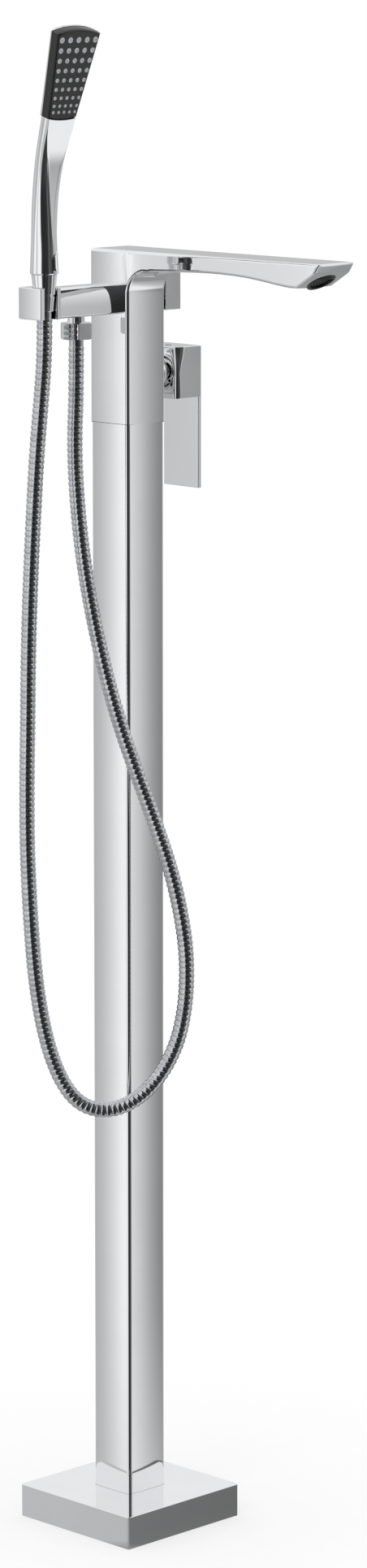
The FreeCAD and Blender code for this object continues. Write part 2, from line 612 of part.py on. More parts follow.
BLOCK_START = "(body_side / 2 + block_gap)"
BLOCK_END = "(body_side / 2 + block_gap + block_deep)"
stem_inner = box("StemInner", ("stem_inner", PIVOT_Y + " + 3 - (" + CARRIER_AT + ") - 1", "stem_inner"),
                 ("0", "(" + PIVOT_Y + " + 3 + (" + CARRIER_AT + ") + 1) / 2"),
                 "lever_level - stem_inner / 2")
stem_outer = box("StemOuter", ("stem_side", "block_gap + stem_socket_deep - 3", "stem_side"),
                 ("0", "(" + BLOCK_START + " + stem_socket_deep + body_side / 2 + 3) / 2"),
                 "lever_level - stem_side / 2")
stem_neck = box("StemNeck", ("stem_inner", "body_side / 2 + 4 - (" + PIVOT_Y + ")", "stem_inner"),
                ("0", "(body_side / 2 + 4 + " + PIVOT_Y + ") / 2"), "lever_level - stem_inner / 2")
node(cut("LeverStem", fuse("StemSolid", [stem_inner, stem_neck, stem_outer]),
         [pin_hole("StemPinHole", "lever_gap", "stem_side + 2")]), "lever_stem")

handle = new_body("HandleBody")
block = new_sketch(handle, "XY_Plane", "BlockSection", "lever_level - block_side / 2")
rectangle(block, "block_side", "block_deep", ("0", BLOCK_START + " + block_deep / 2"))
pad(handle, block, "BlockPad", "block_side")


def inner_upright(edge):
    """True for the block's two upright edges next to the column."""
    return runs_along(edge, "z") and abs(edge.CenterOfMass.y - value_of(BLOCK_START)) < 0.1


round_edges(handle, "BlockRounds", "block_round", inner_upright)
tongue = new_sketch(handle, "XY_Plane", "PlateSection", "lever_level - handle_drop")
rectangle(tongue, "block_side", "handle_plate_thick", ("0", BLOCK_END + " - handle_plate_thick / 2"))
pad(handle, tongue, "PlatePad2", "handle_drop - block_side / 2 + 1")


def plate_end(edge):
    """True for the handle plate's bottom corners."""
    low = edge.CenterOfMass.z < size("lever_level") - size("handle_drop") + 0.1
    return runs_along(edge, "y") and low


round_edges(handle, "HandleEnd", "handle_edge", plate_end)
socket = box("StemSocket", ("stem_side + 0.04", "stem_socket_deep + 0.1", "stem_side + 0.04"),
             ("0", BLOCK_START + " + (stem_socket_deep + 0.1) / 2 - 0.05"),
             "lever_level - stem_side / 2 - 0.02")
BLOCK_TOP = "lever_level + block_side / 2"
GRUB_Y = BLOCK_START + " + lever_grub_inset"
screw_way = cylinder("LeverGrubWay", "lever_grub_dia", "block_side / 2 + 1 - stem_side / 2",
                     ("0", GRUB_Y, "lever_level + stem_side / 2"))
node(cut("LeverHandle", handle, [socket, screw_way]), "lever_handle")

grub = cylinder("LeverGrubShank", "lever_grub_dia", "lever_grub_long",
                ("0", GRUB_Y, "lever_level + stem_side / 2"))
grub_key = hexagon("LeverGrubKey", "lever_grub_dia / 2", "lever_grub_long / 2",
                   ("0", GRUB_Y, "lever_level + stem_side / 2 + lever_grub_long / 2"))
node(cut("LeverGrub", grub, [grub_key]), "lever_grub_screw")
plug = cylinder("LeverPlug", "lever_grub_dia", "2.5",
                ("0", GRUB_Y, BLOCK_TOP + " - lever_grub_sink - 2.5"))
node(plug, "lever_plug")

# ---------------------------------------------------------------- diverter

KNOB_START = "(body_side / 2 + knob_gap)"
INSERT_DIA = "diverter_cavity_dia - 2 * insert_gap"
insert_outer = cylinder("InsertOuter", INSERT_DIA, "diverter_cavity_deep",
                        ("0", DIVERTER_FLOOR, "diverter_level"), "+y")
insert_bore = cylinder("InsertBore", "spindle_dia + 2 * spindle_gap", "diverter_cavity_deep",
                       ("0", DIVERTER_FLOOR + " + 3", "diverter_level"), "+y")
insert_ways = [
    cylinder("InsertWayUp", "port_dia", "diverter_cavity_dia / 2 + 1",
             ("0", "0", "diverter_level"), "+z"),
    cylinder("InsertWayIn", "port_dia", "5", ("0", DIVERTER_FLOOR + " - 1", "diverter_level"), "+y"),
]
node(cut("DiverterInsert", insert_outer, [insert_bore] + insert_ways), "diverter_insert")

SPINDLE_AT = DIVERTER_FLOOR + " + 3 + lever_gap"
spindle = cylinder("SpindleRod", "spindle_dia", KNOB_START + " + knob_bore_deep - (%s)" % SPINDLE_AT,
                   ("0", SPINDLE_AT, "diverter_level"), "+y")
spindle_way = cylinder("SpindleWay", "port_dia", "spindle_dia + 2",
                       ("0", "0", "diverter_level - spindle_dia / 2 - 1"))
spindle_feed = cylinder("SpindleFeed", "port_dia", "3 - (%s)" % SPINDLE_AT,
                        ("0", SPINDLE_AT + " - 1", "diverter_level"), "+y")
node(cut("DiverterSpindle", spindle, [spindle_way, spindle_feed]), "diverter_spindle")

knob = new_body("KnobBody")
face = new_sketch(knob, "XZ_Plane", "KnobFace", "-(body_side / 2 + knob_gap + knob_deep)")
rectangle(face, "knob_side", "knob_side", ("0", "diverter_level"))
pad(knob, face, "KnobPad", "knob_deep")
round_edges(knob, "KnobCorners", "knob_corner", lambda e: runs_along(e, "y"))
knob_bore = cylinder("KnobBore", "spindle_dia", "knob_bore_deep + 1",
                     ("0", KNOB_START + " - 1", "diverter_level"), "+y")
KNOB_GRUB_Y = KNOB_START + " + knob_bore_deep / 2"
knob_grub_way = cylinder("KnobGrubWay", "knob_grub_dia", "knob_side / 2 + 1 - spindle_dia / 2",
                         ("0", KNOB_GRUB_Y, "diverter_level - knob_side / 2 - 1"))
node(cut("DiverterKnob", knob, [knob_bore, knob_grub_way]), "diverter_knob")
grub = cylinder("KnobGrubShank", "knob_grub_dia", "knob_grub_long",
                ("0", KNOB_GRUB_Y, "diverter_level - spindle_dia / 2 - knob_grub_long"))
grub_key = hexagon("KnobGrubKey", "knob_grub_dia / 2", "knob_grub_long / 2",
                   ("0", KNOB_GRUB_Y, "diverter_level - spindle_dia / 2 - knob_grub_long"))
node(cut("KnobGrub", grub, [grub_key]), "knob_grub_screw")

# ---------------------------------------------------------------- arm and holder

ARM_BASE = "arm_level - arm_tall / 2"
OUTLET_Y = "-outlet_reach"
arm = new_body("ArmBody")
section = new_sketch(arm, "XZ_Plane", "ArmSection", "body_side / 2")
rectangle(section, "arm_deep", "arm_tall", ("0", "arm_level"))
pad(arm, section, "ArmPad", "arm_reach - body_side / 2")
round_edges(arm, "ArmRounds", "arm_round", lambda e: runs_along(e, "y"))
holder = new_sketch(arm, "XY_Plane", "HolderSection", ARM_BASE)
rectangle(holder, "holder_side", "holder_end - arm_reach + 2",
          ("0", "-(holder_end + arm_reach - 2) / 2"))
pad(arm, holder, "HolderPad", "holder_tall")

# The hand shower's conical nut sits in a conical seat that a slot opens towards +X.
HAND = ("hand_forward", "hand_inset - holder_end")
CONE_RISE = "(cone_top_dia - cone_base_dia) / cone_tall"
SEAT_HIGH = "cone_top_dia - cone_show * %s + 2 * nut_gap" % CONE_RISE
seat = cone("HolderSeat", "slot_width", SEAT_HIGH, "holder_tall", HAND + (ARM_BASE,))
seat_slot = box("HolderSlot", ("holder_side", "slot_width", "holder_tall + 2"),
                ("hand_forward + holder_side / 2", HAND[1]), ARM_BASE + " - 1")
arm_channel = cylinder("ArmChannel", "arm_channel", "outlet_reach - body_side / 2 + 1",
                       ("0", "-body_side / 2 + 1", "arm_level"), "-y")
arm_socket = cylinder("ArmSocket", "arm_nipple_dia + 0.04", "arm_nipple_long / 2 + 1",
                      ("0", "-body_side / 2 + 1", "arm_level"), "-y")
outlet_socket = cylinder("OutletSocket", "outlet_tail_dia", "outlet_up_long + 1",
                         ("0", OUTLET_Y, ARM_BASE + " - 1"))
outlet_way = cylinder("OutletWay", "outlet_bore", "arm_tall / 2 + 1", ("0", OUTLET_Y, ARM_BASE + " - 1"))
node(cut("ShowerArm", arm, [seat, seat_slot, arm_channel, arm_socket, outlet_socket, outlet_way]),
     "shower_arm")

nipple = cylinder("ArmNippleRod", "arm_nipple_dia", "arm_nipple_long",
                  ("0", "-body_side / 2 - arm_nipple_long / 2", "arm_level"), "+y")
nipple_bore = cylinder("ArmNippleBore", "arm_channel", "arm_nipple_long + 2",
                       ("0", "-body_side / 2 - arm_nipple_long / 2 - 1", "arm_level"), "+y")
node(cut("ArmNipple", nipple, [nipple_bore]), "arm_nipple")

# ---------------------------------------------------------------- hose outlet

HEX_TOP = ARM_BASE + " - neck_tall"
HEX_LOW = HEX_TOP + " - hex_tall"
TAIL_LOW = HEX_TOP + " - outlet_tail_long"
outlet_neck = cylinder("OutletNeck", "neck_dia", "neck_tall", ("0", OUTLET_Y, HEX_TOP))
outlet_tail = cylinder("OutletTail", "outlet_tail_dia", "outlet_tail_long + neck_tall + outlet_up_long",
                       ("0", OUTLET_Y, TAIL_LOW))
outlet_bore = cylinder("OutletBore", "outlet_bore", "outlet_tail_long + neck_tall + outlet_up_long + 2",
                       ("0", OUTLET_Y, TAIL_LOW + " - 1"))
node(cut("HoseOutlet", fuse("OutletSolid", [outlet_neck, outlet_tail]), [outlet_bore]), "hose_outlet")

valve = cylinder("ValveBody", "outlet_bore", "6", ("0", OUTLET_Y, ARM_BASE + " - 3"))
valve_bore = cylinder("ValveBore", "outlet_bore / 2", "8", ("0", OUTLET_Y, ARM_BASE + " - 4"))
node(cut("CheckValve", valve, [valve_bore]), "check_valve")

hex_body = hexagon("HexBody", "hex_flats", "hex_tall", ("0", OUTLET_Y, HEX_LOW))
hex_body.Placement = FreeCAD.Placement(hex_body.Placement.Base, FreeCAD.Rotation(V(0, 0, 1), -45))
hex_bore = cylinder("HexBore", "outlet_tail_dia + 2 * thread_gap", "outlet_tail_long + washer_thick",
                    ("0", OUTLET_Y, TAIL_LOW + " - washer_thick"))
hex_way = cylinder("HexWay", "hose_bore", "hex_tall", ("0", OUTLET_Y, HEX_LOW + " - 1"))
node(cut("HoseNut", hex_body, [hex_bore, hex_way]), "hose_nut_outlet")

washer = cylinder("WasherOuter", "outlet_tail_dia", "washer_thick",
                  ("0", OUTLET_Y, TAIL_LOW + " - washer_thick"))
washer_hole = cylinder("WasherInner", "outlet_bore", "washer_thick + 2",
                       ("0", OUTLET_Y, TAIL_LOW + " - washer_thick - 1"))
node(cut("OutletWasher", washer, [washer_hole]), "hose_washer_outlet")

# ---------------------------------------------------------------- conical nut

CONE_TOP = ARM_BASE + " + holder_tall + cone_show"
CONE_BASE = CONE_TOP + " - cone_tall"
cone_body = cone("ConeBody", "cone_base_dia", "cone_top_dia", "cone_tall", HAND + (CONE_BASE,))
GROOVE_DIA = "cone_base_dia + groove_up * %s - 2 * groove_deep" % CONE_RISE
groove_outer = cylinder("GrooveOuter", "cone_top_dia + 4", "groove_tall", HAND + (CONE_BASE + " + groove_up",))
groove_core = cylinder("GrooveCore", GROOVE_DIA, "groove_tall", HAND + (CONE_BASE + " + groove_up",))
groove = cut("GrooveRing", groove_outer, [groove_core])
HAND_TAIL_LOW = CONE_TOP + " - hand_tail_long"
cone_bore = cylinder("ConeBore", "hand_tail_dia + 2 * thread_gap", "hand_tail_long + washer_thick + 1",
                     HAND + (HAND_TAIL_LOW + " - washer_thick",))
cone_way = cylinder("ConeWay", "hose_bore", "cone_tall", HAND + (CONE_BASE + " - 1",))
node(cut("ConicalNut", cone_body, [groove, cone_bore, cone_way]), "hose_nut_hand")

washer = cylinder("HandWasherOuter", "hand_tail_dia", "washer_thick",
                  HAND + (HAND_TAIL_LOW + " - washer_thick",))
washer_hole = cylinder("HandWasherInner", "hand_bore", "washer_thick + 2",
                       HAND + (HAND_TAIL_LOW + " - washer_thick - 1",))
node(cut("HandWasher", washer, [washer_hole]), "filter_washer_hand")

# ---------------------------------------------------------------- hose

# Corners of the hose's path: it leaves the outlet straight down, passes in front of the
# column's corner to the right, turns back low down and climbs to the hand shower.
HOSE_START = V(0, value_of(OUTLET_Y), value_of(HEX_LOW))
HOSE_END = V(value_of(HAND[0]), value_of(HAND[1]), value_of(CONE_BASE))
FIRST_RUN = 37.7
LAST_RUN = 32
HOSE_POINTS = [
    (0.5, -57.5, 862),
    (4.5, -58.5, 818),
    (10, -57.5, 774),
    (16.5, -54, 732.5),
    (23, -48, 691),
    (31, -40.5, 650),
    (40.5, -31, 611),
    (50, -21.5, 574),
    (58.5, -13, 538.5),
    (64.5, -7.5, 504.5),
    (68, -4.5, 474),
    (69, -4.5, 447),
    (68, -6.5, 422),
    (64.5, -10.5, 398.5),
    (57.5, -18, 377),
    (48.5, -28, 360),
    (37, -40, 348.5),
    (25, -53, 344.5),
    (13, -65.5, 350),
    (4.5, -74.5, 364.5),
    (-1.5, -82, 386.5),
    (-5.5, -88.5, 416),
    (-8, -93.5, 453.5),
    (-8.5, -97.5, 500),
    (-8.5, -100.5, 551.5),
    (-7.5, -101.5, 603.5),
    (-6, -101.5, 655.5),
    (-5, -101.5, 707),
    (-3.5, -100.5, 758),
    (-1.5, -99, 808),
    (0.5, -97, 857.5),
    (3, -94.5, 898),
]


def path_with_arcs(corners):
    """Straight runs joined by tangent arcs, as large as 0.45 of the shorter run allows."""
    edges = []
    radii = []
    here = corners[0]
    for before, corner, after in zip(corners, corners[1:], corners[2:]):
        back = before - corner
        ahead = after - corner
        short = min(back.Length, ahead.Length)
        half_turn = (math.pi - back.getAngle(ahead)) / 2
        reach = 0.45 * short
        radius = reach / math.tan(half_turn)
        radii.append(radius)
        back.normalize()
        ahead.normalize()
        start = corner + back * reach
        end = corner + ahead * reach
        inward = back + ahead
        inward.normalize()
        middle = corner + inward * (radius / math.cos(half_turn) - radius)
        edges.append(Part.LineSegment(here, start).toShape())
        edges.append(Part.Arc(start, middle, end).toShape())
        here = end
    edges.append(Part.LineSegment(here, corners[-1]).toShape())
    return Part.Wire(edges), radii


def stations(wire, distances):
    """Point and direction of the path at each distance along it."""
    found = []
    edges = wire.Edges
    starts = [0.0]
    for edge in edges:
        starts.append(starts[-1] + edge.Length)
    index = 0
    for distance in distances:
        while index < len(edges) - 1 and distance > starts[index + 1]:
            index += 1
        edge = edges[index]
        parameter = edge.getParameterByLength(min(distance - starts[index], edge.Length))
        found.append((edge.valueAt(parameter), edge.tangentAt(parameter)))
    return found


def ring(point, direction, side, radius):
    """A circle square to the path whose own X axis stays steady along it."""
    across = direction.cross(side)
    across.normalize()
    steady = across.cross(direction)
    steady.normalize()
    frame = FreeCAD.Placement(point, FreeCAD.Rotation(steady, across, direction, "XZY"))
    circle_edge = Part.Circle(V(0, 0, 0), V(0, 0, 1), radius).toShape()
    circle_edge.Placement = frame
    return Part.Wire([circle_edge])


def loft_along(wire, distances, radii):
    """A closed solid through circles square to the path."""
    side = V(1, -1, 0)
    rings = [ring(point, direction, side, radius)
             for (point, direction), radius in zip(stations(wire, distances), radii)]
    return Part.makeLoft(rings, True, True)


def ribbed_hose(wire, outer, bore, depth, ribs):
    """A tube with its bore, plain at both ends, and round it ribs of four circles each."""
    total = wire.Length
    root = outer / 2 - depth
    pitch = (total - 2 * outer) / ribs
    distances = [0.0]
    radii = [root]
    for i in range(ribs):
        start = outer + i * pitch
        for share, radius in ((0.0, root), (0.18, outer / 2), (0.72, outer / 2), (0.90, root)):
            distances.append(start + share * pitch)
            radii.append(radius)
    distances.append(total)
    radii.append(root)
    steps = int(total / outer / 0.75)
    core = loft_along(wire, [total * i / steps for i in range(steps + 1)], [bore / 2] * (steps + 1))
    return loft_along(wire, distances, radii).cut(core)


hose_wire, hose_radii = path_with_arcs(
    [HOSE_START, HOSE_START - V(0, 0, FIRST_RUN)] + [V(*p) for p in HOSE_POINTS]
    + [HOSE_END - V(0, 0, LAST_RUN), HOSE_END])
print("hose path %.1f mm, radii %s" % (hose_wire.Length, [round(r) for r in hose_radii]))
hose = doc.addObject("Part::Feature", "Hose")
hose.Shape = ribbed_hose(hose_wire, size("hose_dia"), size("hose_bore"), size("rib_depth"),
                         int(size("rib_count")))
print("hose volume %.0f, plain tube %.0f" % (
    hose.Shape.Volume,
    math.pi / 4 * (size("hose_dia") ** 2 - size("hose_bore") ** 2) * hose_wire.Length))
node(hose, "shower_hose")

# ---------------------------------------------------------------- hand shower


def section_wire(centre, lean, width, thick):
    """A rounded rectangle square to the handle's axis, wide along Y."""
    corner = min(width, thick) / 2 - 0.4
    a = thick / 2
    b = width / 2
    diagonal = corner * (1 - math.sqrt(0.5))
    edges = []
    spots = [(1, 1), (-1, 1), (-1, -1), (1, -1)]
    for i, (sx, sy) in enumerate(spots):
        if sx * sy > 0:
            start, end = V(sx * a, sy * (b - corner), 0), V(sx * (a - corner), sy * b, 0)
        else:
            start, end = V(sx * (a - corner), sy * b, 0), V(sx * a, sy * (b - corner), 0)
        middle = V(sx * (a - diagonal), sy * (b - diagonal), 0)
        nx, ny = spots[(i + 1) % 4]
        if nx * ny > 0:
            following = V(nx * a, ny * (b - corner), 0)
        else:
            following = V(nx * (a - corner), ny * b, 0)
        edges.append(Part.Arc(start, middle, end).toShape())
        edges.append(Part.LineSegment(end, following).toShape())
    wire = Part.Wire(edges)
    wire.Placement = FreeCAD.Placement(centre, FreeCAD.Rotation(V(0, 1, 0), lean))
    return wire


# Sections of the handle and head: height above the conical nut as a share of the face's,
# share of the head's lean, and how far width and thickness are on their way from the
# grip's to those of the head's low end.
FACE_RISE = size("face_rise")
GRIP = size("grip_dia")
LOW_WIDTH = size("face_low_width")
LOW_THICK = 1.12 * size("head_thick")
HANDLE_SECTIONS = [(size("hand_gap"), 0, size("foot_dia"), size("foot_dia"))] + [
    (FACE_RISE * rise, lean, GRIP + (LOW_WIDTH - GRIP) * wide, GRIP + (LOW_THICK - GRIP) * thin)
    for rise, lean, wide, thin in (
        (0.22, 0, 0, 0), (0.43, 0.33, 0.08, 0.02), (0.64, 0.7, 0.31, 0.29),
        (0.84, 0.93, 0.57, 0.71), (1, 1, 1, 1))
] + [
    (FACE_RISE + size("face_tall") * 0.45, 1,
     0.54 * LOW_WIDTH + 0.46 * size("face_top_width"), 1.02 * size("head_thick")),
    (FACE_RISE + 1.005 * size("face_tall") * math.cos(math.radians(size("head_lean"))), 1,
     size("face_top_width"), size("head_thick")),
]


def handle_axis(sections, lean):
    """The forward shift at each section of an axis that leans as the sections say."""
    shifts = [0.0]
    for (low, share_low, _, _), (high, share_high, _, _) in zip(sections, sections[1:]):
        slope = math.tan(math.radians(lean * (share_low + share_high) / 2))
        shifts.append(shifts[-1] + (high - low) * slope)
    return shifts


SHIFTS = handle_axis(HANDLE_SECTIONS, size("head_lean"))
HAND_FOOT = V(value_of(HAND[0]), value_of(HAND[1]), value_of(CONE_TOP))
hand_shell = doc.addObject("Part::Feature", "HandShellSolid")
hand_shell.Shape = Part.makeLoft([
    section_wire(HAND_FOOT + V(shift, 0, rise), size("head_lean") * share, width, thick)
    for (rise, share, width, thick), shift in zip(HANDLE_SECTIONS, SHIFTS)], True, False)

# The head's own frame: Z along the leaning face, X out of the face, origin low on the face.
head_frame = FreeCAD.Placement(
    HAND_FOOT + V(SHIFTS[-3], 0, FACE_RISE), FreeCAD.Rotation(V(0, 1, 0), size("head_lean")))
FACE_FRONT = size("head_thick") / 2 + size("face_proud")
FACE_BACK = FACE_FRONT - size("face_deep")
CHAMBER_FRONT = FACE_FRONT - size("face_wall")
FACE_TALL = size("face_tall")


def face_slab(inset, low_inset, start, end):
    """A slab of the face's outline: an arc above, an arc below and two straight sides."""
    low = size("face_low_width") / 2 - inset
    top = size("face_top_width") / 2 - inset
    bottom = low_inset + size("face_low_arc")
    height = FACE_TALL - inset
    side_top = height - size("face_top_arc")
    corners = [V(start, -low, bottom), V(start, low, bottom),
               V(start, top, side_top), V(start, -top, side_top)]
    low_arc = Part.Arc(corners[0], V(start, 0, low_inset), corners[1]).toShape()
    right = Part.LineSegment(corners[1], corners[2]).toShape()
    high_arc = Part.Arc(corners[2], V(start, 0, height), corners[3]).toShape()
    left = Part.LineSegment(corners[3], corners[0]).toShape()
    slab = Part.Face(Part.Wire([low_arc, right, high_arc, left])).extrude(V(end - start, 0, 0))
    slab.Placement = head_frame
    return slab


# The front part of the head takes away the shell in front of its back, and the shell's
# top follows the face's upper arc.
SPARE = size("head_thick")
recess = doc.addObject("Part::Feature", "FaceRecess")
recess.Shape = face_slab(-SPARE, -size("face_gap"), FACE_BACK, FACE_FRONT + SPARE)
above = Part.makeBox(4 * SPARE, 2 * size("face_top_width"), FACE_TALL,
                     V(-2 * SPARE, -size("face_top_width"), 0.7 * FACE_TALL))
above.Placement = head_frame
trim = doc.addObject("Part::Feature", "HeadTrim")
trim.Shape = above.cut(face_slab(0, 0, -2 * SPARE, 2 * SPARE))
hand_tail = cylinder("HandTail", "hand_tail_dia", "hand_tail_long + hand_gap + 1", HAND + (HAND_TAIL_LOW,))
hand_way = cylinder("HandWay", "hand_bore", "hand_tail_long + way_rise + 4", HAND + (HAND_TAIL_LOW + " - 1",))
upper_way = doc.addObject("Part::Feature", "UpperWay")
way_start = HAND_FOOT + V(0, 0, size("way_rise"))
way_end = head_frame.multVec(V(0, 0, size("nozzle_low_edge") + size("face_low_arc")))
upper_way.Shape = Part.makeCylinder(size("hand_bore") / 2, (way_end - way_start).Length,
                                    way_start, way_end - way_start)
node(cut("HandShowerShell", fuse("HandSolid", [hand_shell, hand_tail]),
         [recess, trim, hand_way, upper_way]), "hand_shower_shell")

# Nozzles: rows that follow the face's outline, each nozzle a short tip through the plate.
nozzle_spots = []
rows = int(size("nozzle_rows"))
columns = int(size("nozzle_columns"))
for row in range(rows):
    share = row / (rows - 1)
    span = FACE_TALL - size("nozzle_low_edge") - size("nozzle_top_edge")
    height = size("nozzle_low_edge") + share * span
    width = size("nozzle_low_width") + share * (size("nozzle_top_width") - size("nozzle_low_width"))
    diameter = size("nozzle_low_dia") + share * (size("nozzle_top_dia") - size("nozzle_low_dia"))
    for column_index in range(columns):
        across = (column_index / (columns - 1) - 0.5) * width
        nozzle_spots.append((V(0, across, height), diameter))


def nozzle_tips(start, end, share):
    """A round tip at each nozzle, from start to end out of the face, of a share of its width."""
    tips = []
    for spot, diameter in nozzle_spots:
        tip = Part.makeCylinder(diameter / 2 * share, end - start, V(start, spot.y, spot.z), V(1, 0, 0))
        tip.Placement = head_frame
        tips.append(tip)
    return tips


chamber = face_slab(size("chamber_inset"), size("chamber_inset"), FACE_BACK - 1, CHAMBER_FRONT)
face_plate = doc.addObject("Part::Feature", "FacePlate")
face_plate.Shape = face_slab(size("face_inset"), 0, FACE_BACK, FACE_FRONT).cut(
    Part.makeCompound([chamber] + nozzle_tips(CHAMBER_FRONT - 1, FACE_FRONT + 1, 1)))
node(face_plate, "hand_face_plate")

MAT_INSET = size("chamber_inset") + size("face_gap")
mat = face_slab(MAT_INSET, MAT_INSET, CHAMBER_FRONT - size("mat_thick"), CHAMBER_FRONT)
tips = nozzle_tips(CHAMBER_FRONT - size("mat_thick") / 2, FACE_FRONT + size("nozzle_proud"), 1)
drills = nozzle_tips(CHAMBER_FRONT - size("mat_thick") - 1, FACE_FRONT + size("nozzle_proud") + 1, 0.45)
nozzle_mat = doc.addObject("Part::Feature", "NozzleMat")
nozzle_mat.Shape = mat.fuse(tips).cut(Part.makeCompound(drills))
node(nozzle_mat, "hand_nozzle_mat")

# ---------------------------------------------------------------- checks and export

doc.recompute()
for feature in doc.Objects:
    if "Invalid" in feature.State or "Error" in feature.State:
        raise ValueError("%s: %s" % (feature.Name, feature.State))
for feature in NODES:
    if feature.Shape.isNull() or not feature.Shape.isValid():
        raise ValueError(feature.Label + " has no valid shape")
    if not feature.Shape.Solids or feature.Shape.Volume <= 0:
        raise ValueError(feature.Label + " has no solid")

os.makedirs("parts", exist_ok=True)
for feature in NODES:
    feature.Shape.exportStep("parts/%s.step" % feature.Label)
    print("%-24s solids %d volume %.0f" % (
        feature.Label, len(feature.Shape.Solids), feature.Shape.Volume))
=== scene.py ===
"""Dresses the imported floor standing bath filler: its visible pieces, finishes, light and camera."""

from __future__ import annotations

import json
import logging
import math
from contextlib import contextmanager
from dataclasses import dataclass
from enum import Enum
from typing import Any, Callable, Iterator, Sequence

import bmesh
import bpy
from mathutils import Matrix, Vector

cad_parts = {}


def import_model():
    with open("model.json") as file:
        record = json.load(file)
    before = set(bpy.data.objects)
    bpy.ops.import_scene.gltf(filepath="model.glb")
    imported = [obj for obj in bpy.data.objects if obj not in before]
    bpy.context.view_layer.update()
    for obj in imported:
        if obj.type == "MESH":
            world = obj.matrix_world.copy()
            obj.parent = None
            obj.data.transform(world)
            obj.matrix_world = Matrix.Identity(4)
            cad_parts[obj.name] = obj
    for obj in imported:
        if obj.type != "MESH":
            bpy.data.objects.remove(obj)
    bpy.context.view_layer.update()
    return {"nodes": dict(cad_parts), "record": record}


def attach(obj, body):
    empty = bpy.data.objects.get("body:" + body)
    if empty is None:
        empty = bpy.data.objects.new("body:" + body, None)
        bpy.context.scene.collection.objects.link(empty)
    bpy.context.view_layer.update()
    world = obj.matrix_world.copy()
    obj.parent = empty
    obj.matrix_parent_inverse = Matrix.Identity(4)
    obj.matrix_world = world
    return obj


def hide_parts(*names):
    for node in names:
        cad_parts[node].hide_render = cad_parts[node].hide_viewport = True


LOG = logging.getLogger("bath_filler")
MM = 0.001
WELD = 0.00001
FLAT_WEIGHT = 60
# How close a place has to be to a limit in millimetres, and how far a direction has to turn
# towards an axis, to count as on it and along it.
NEAR = 0.05
ALONG = 0.9

Point = Sequence[float]
PointTest = Callable[[Vector, Vector], bool]


class Turn(Enum):
    """Which way the axis of a turned piece points, or how far its sides are turned."""

    UP = Matrix.Identity(4)
    TO_LEVER = Matrix.Rotation(-math.pi / 2, 4, "X")
    TO_LEVER_LOW = Matrix.Rotation(-math.radians(100), 4, "X")
    TO_BATH = Matrix.Rotation(math.radians(149), 4, "Y")
    ASKEW = Matrix.Rotation(math.radians(-6), 4, "Z")


# Modelling bench.


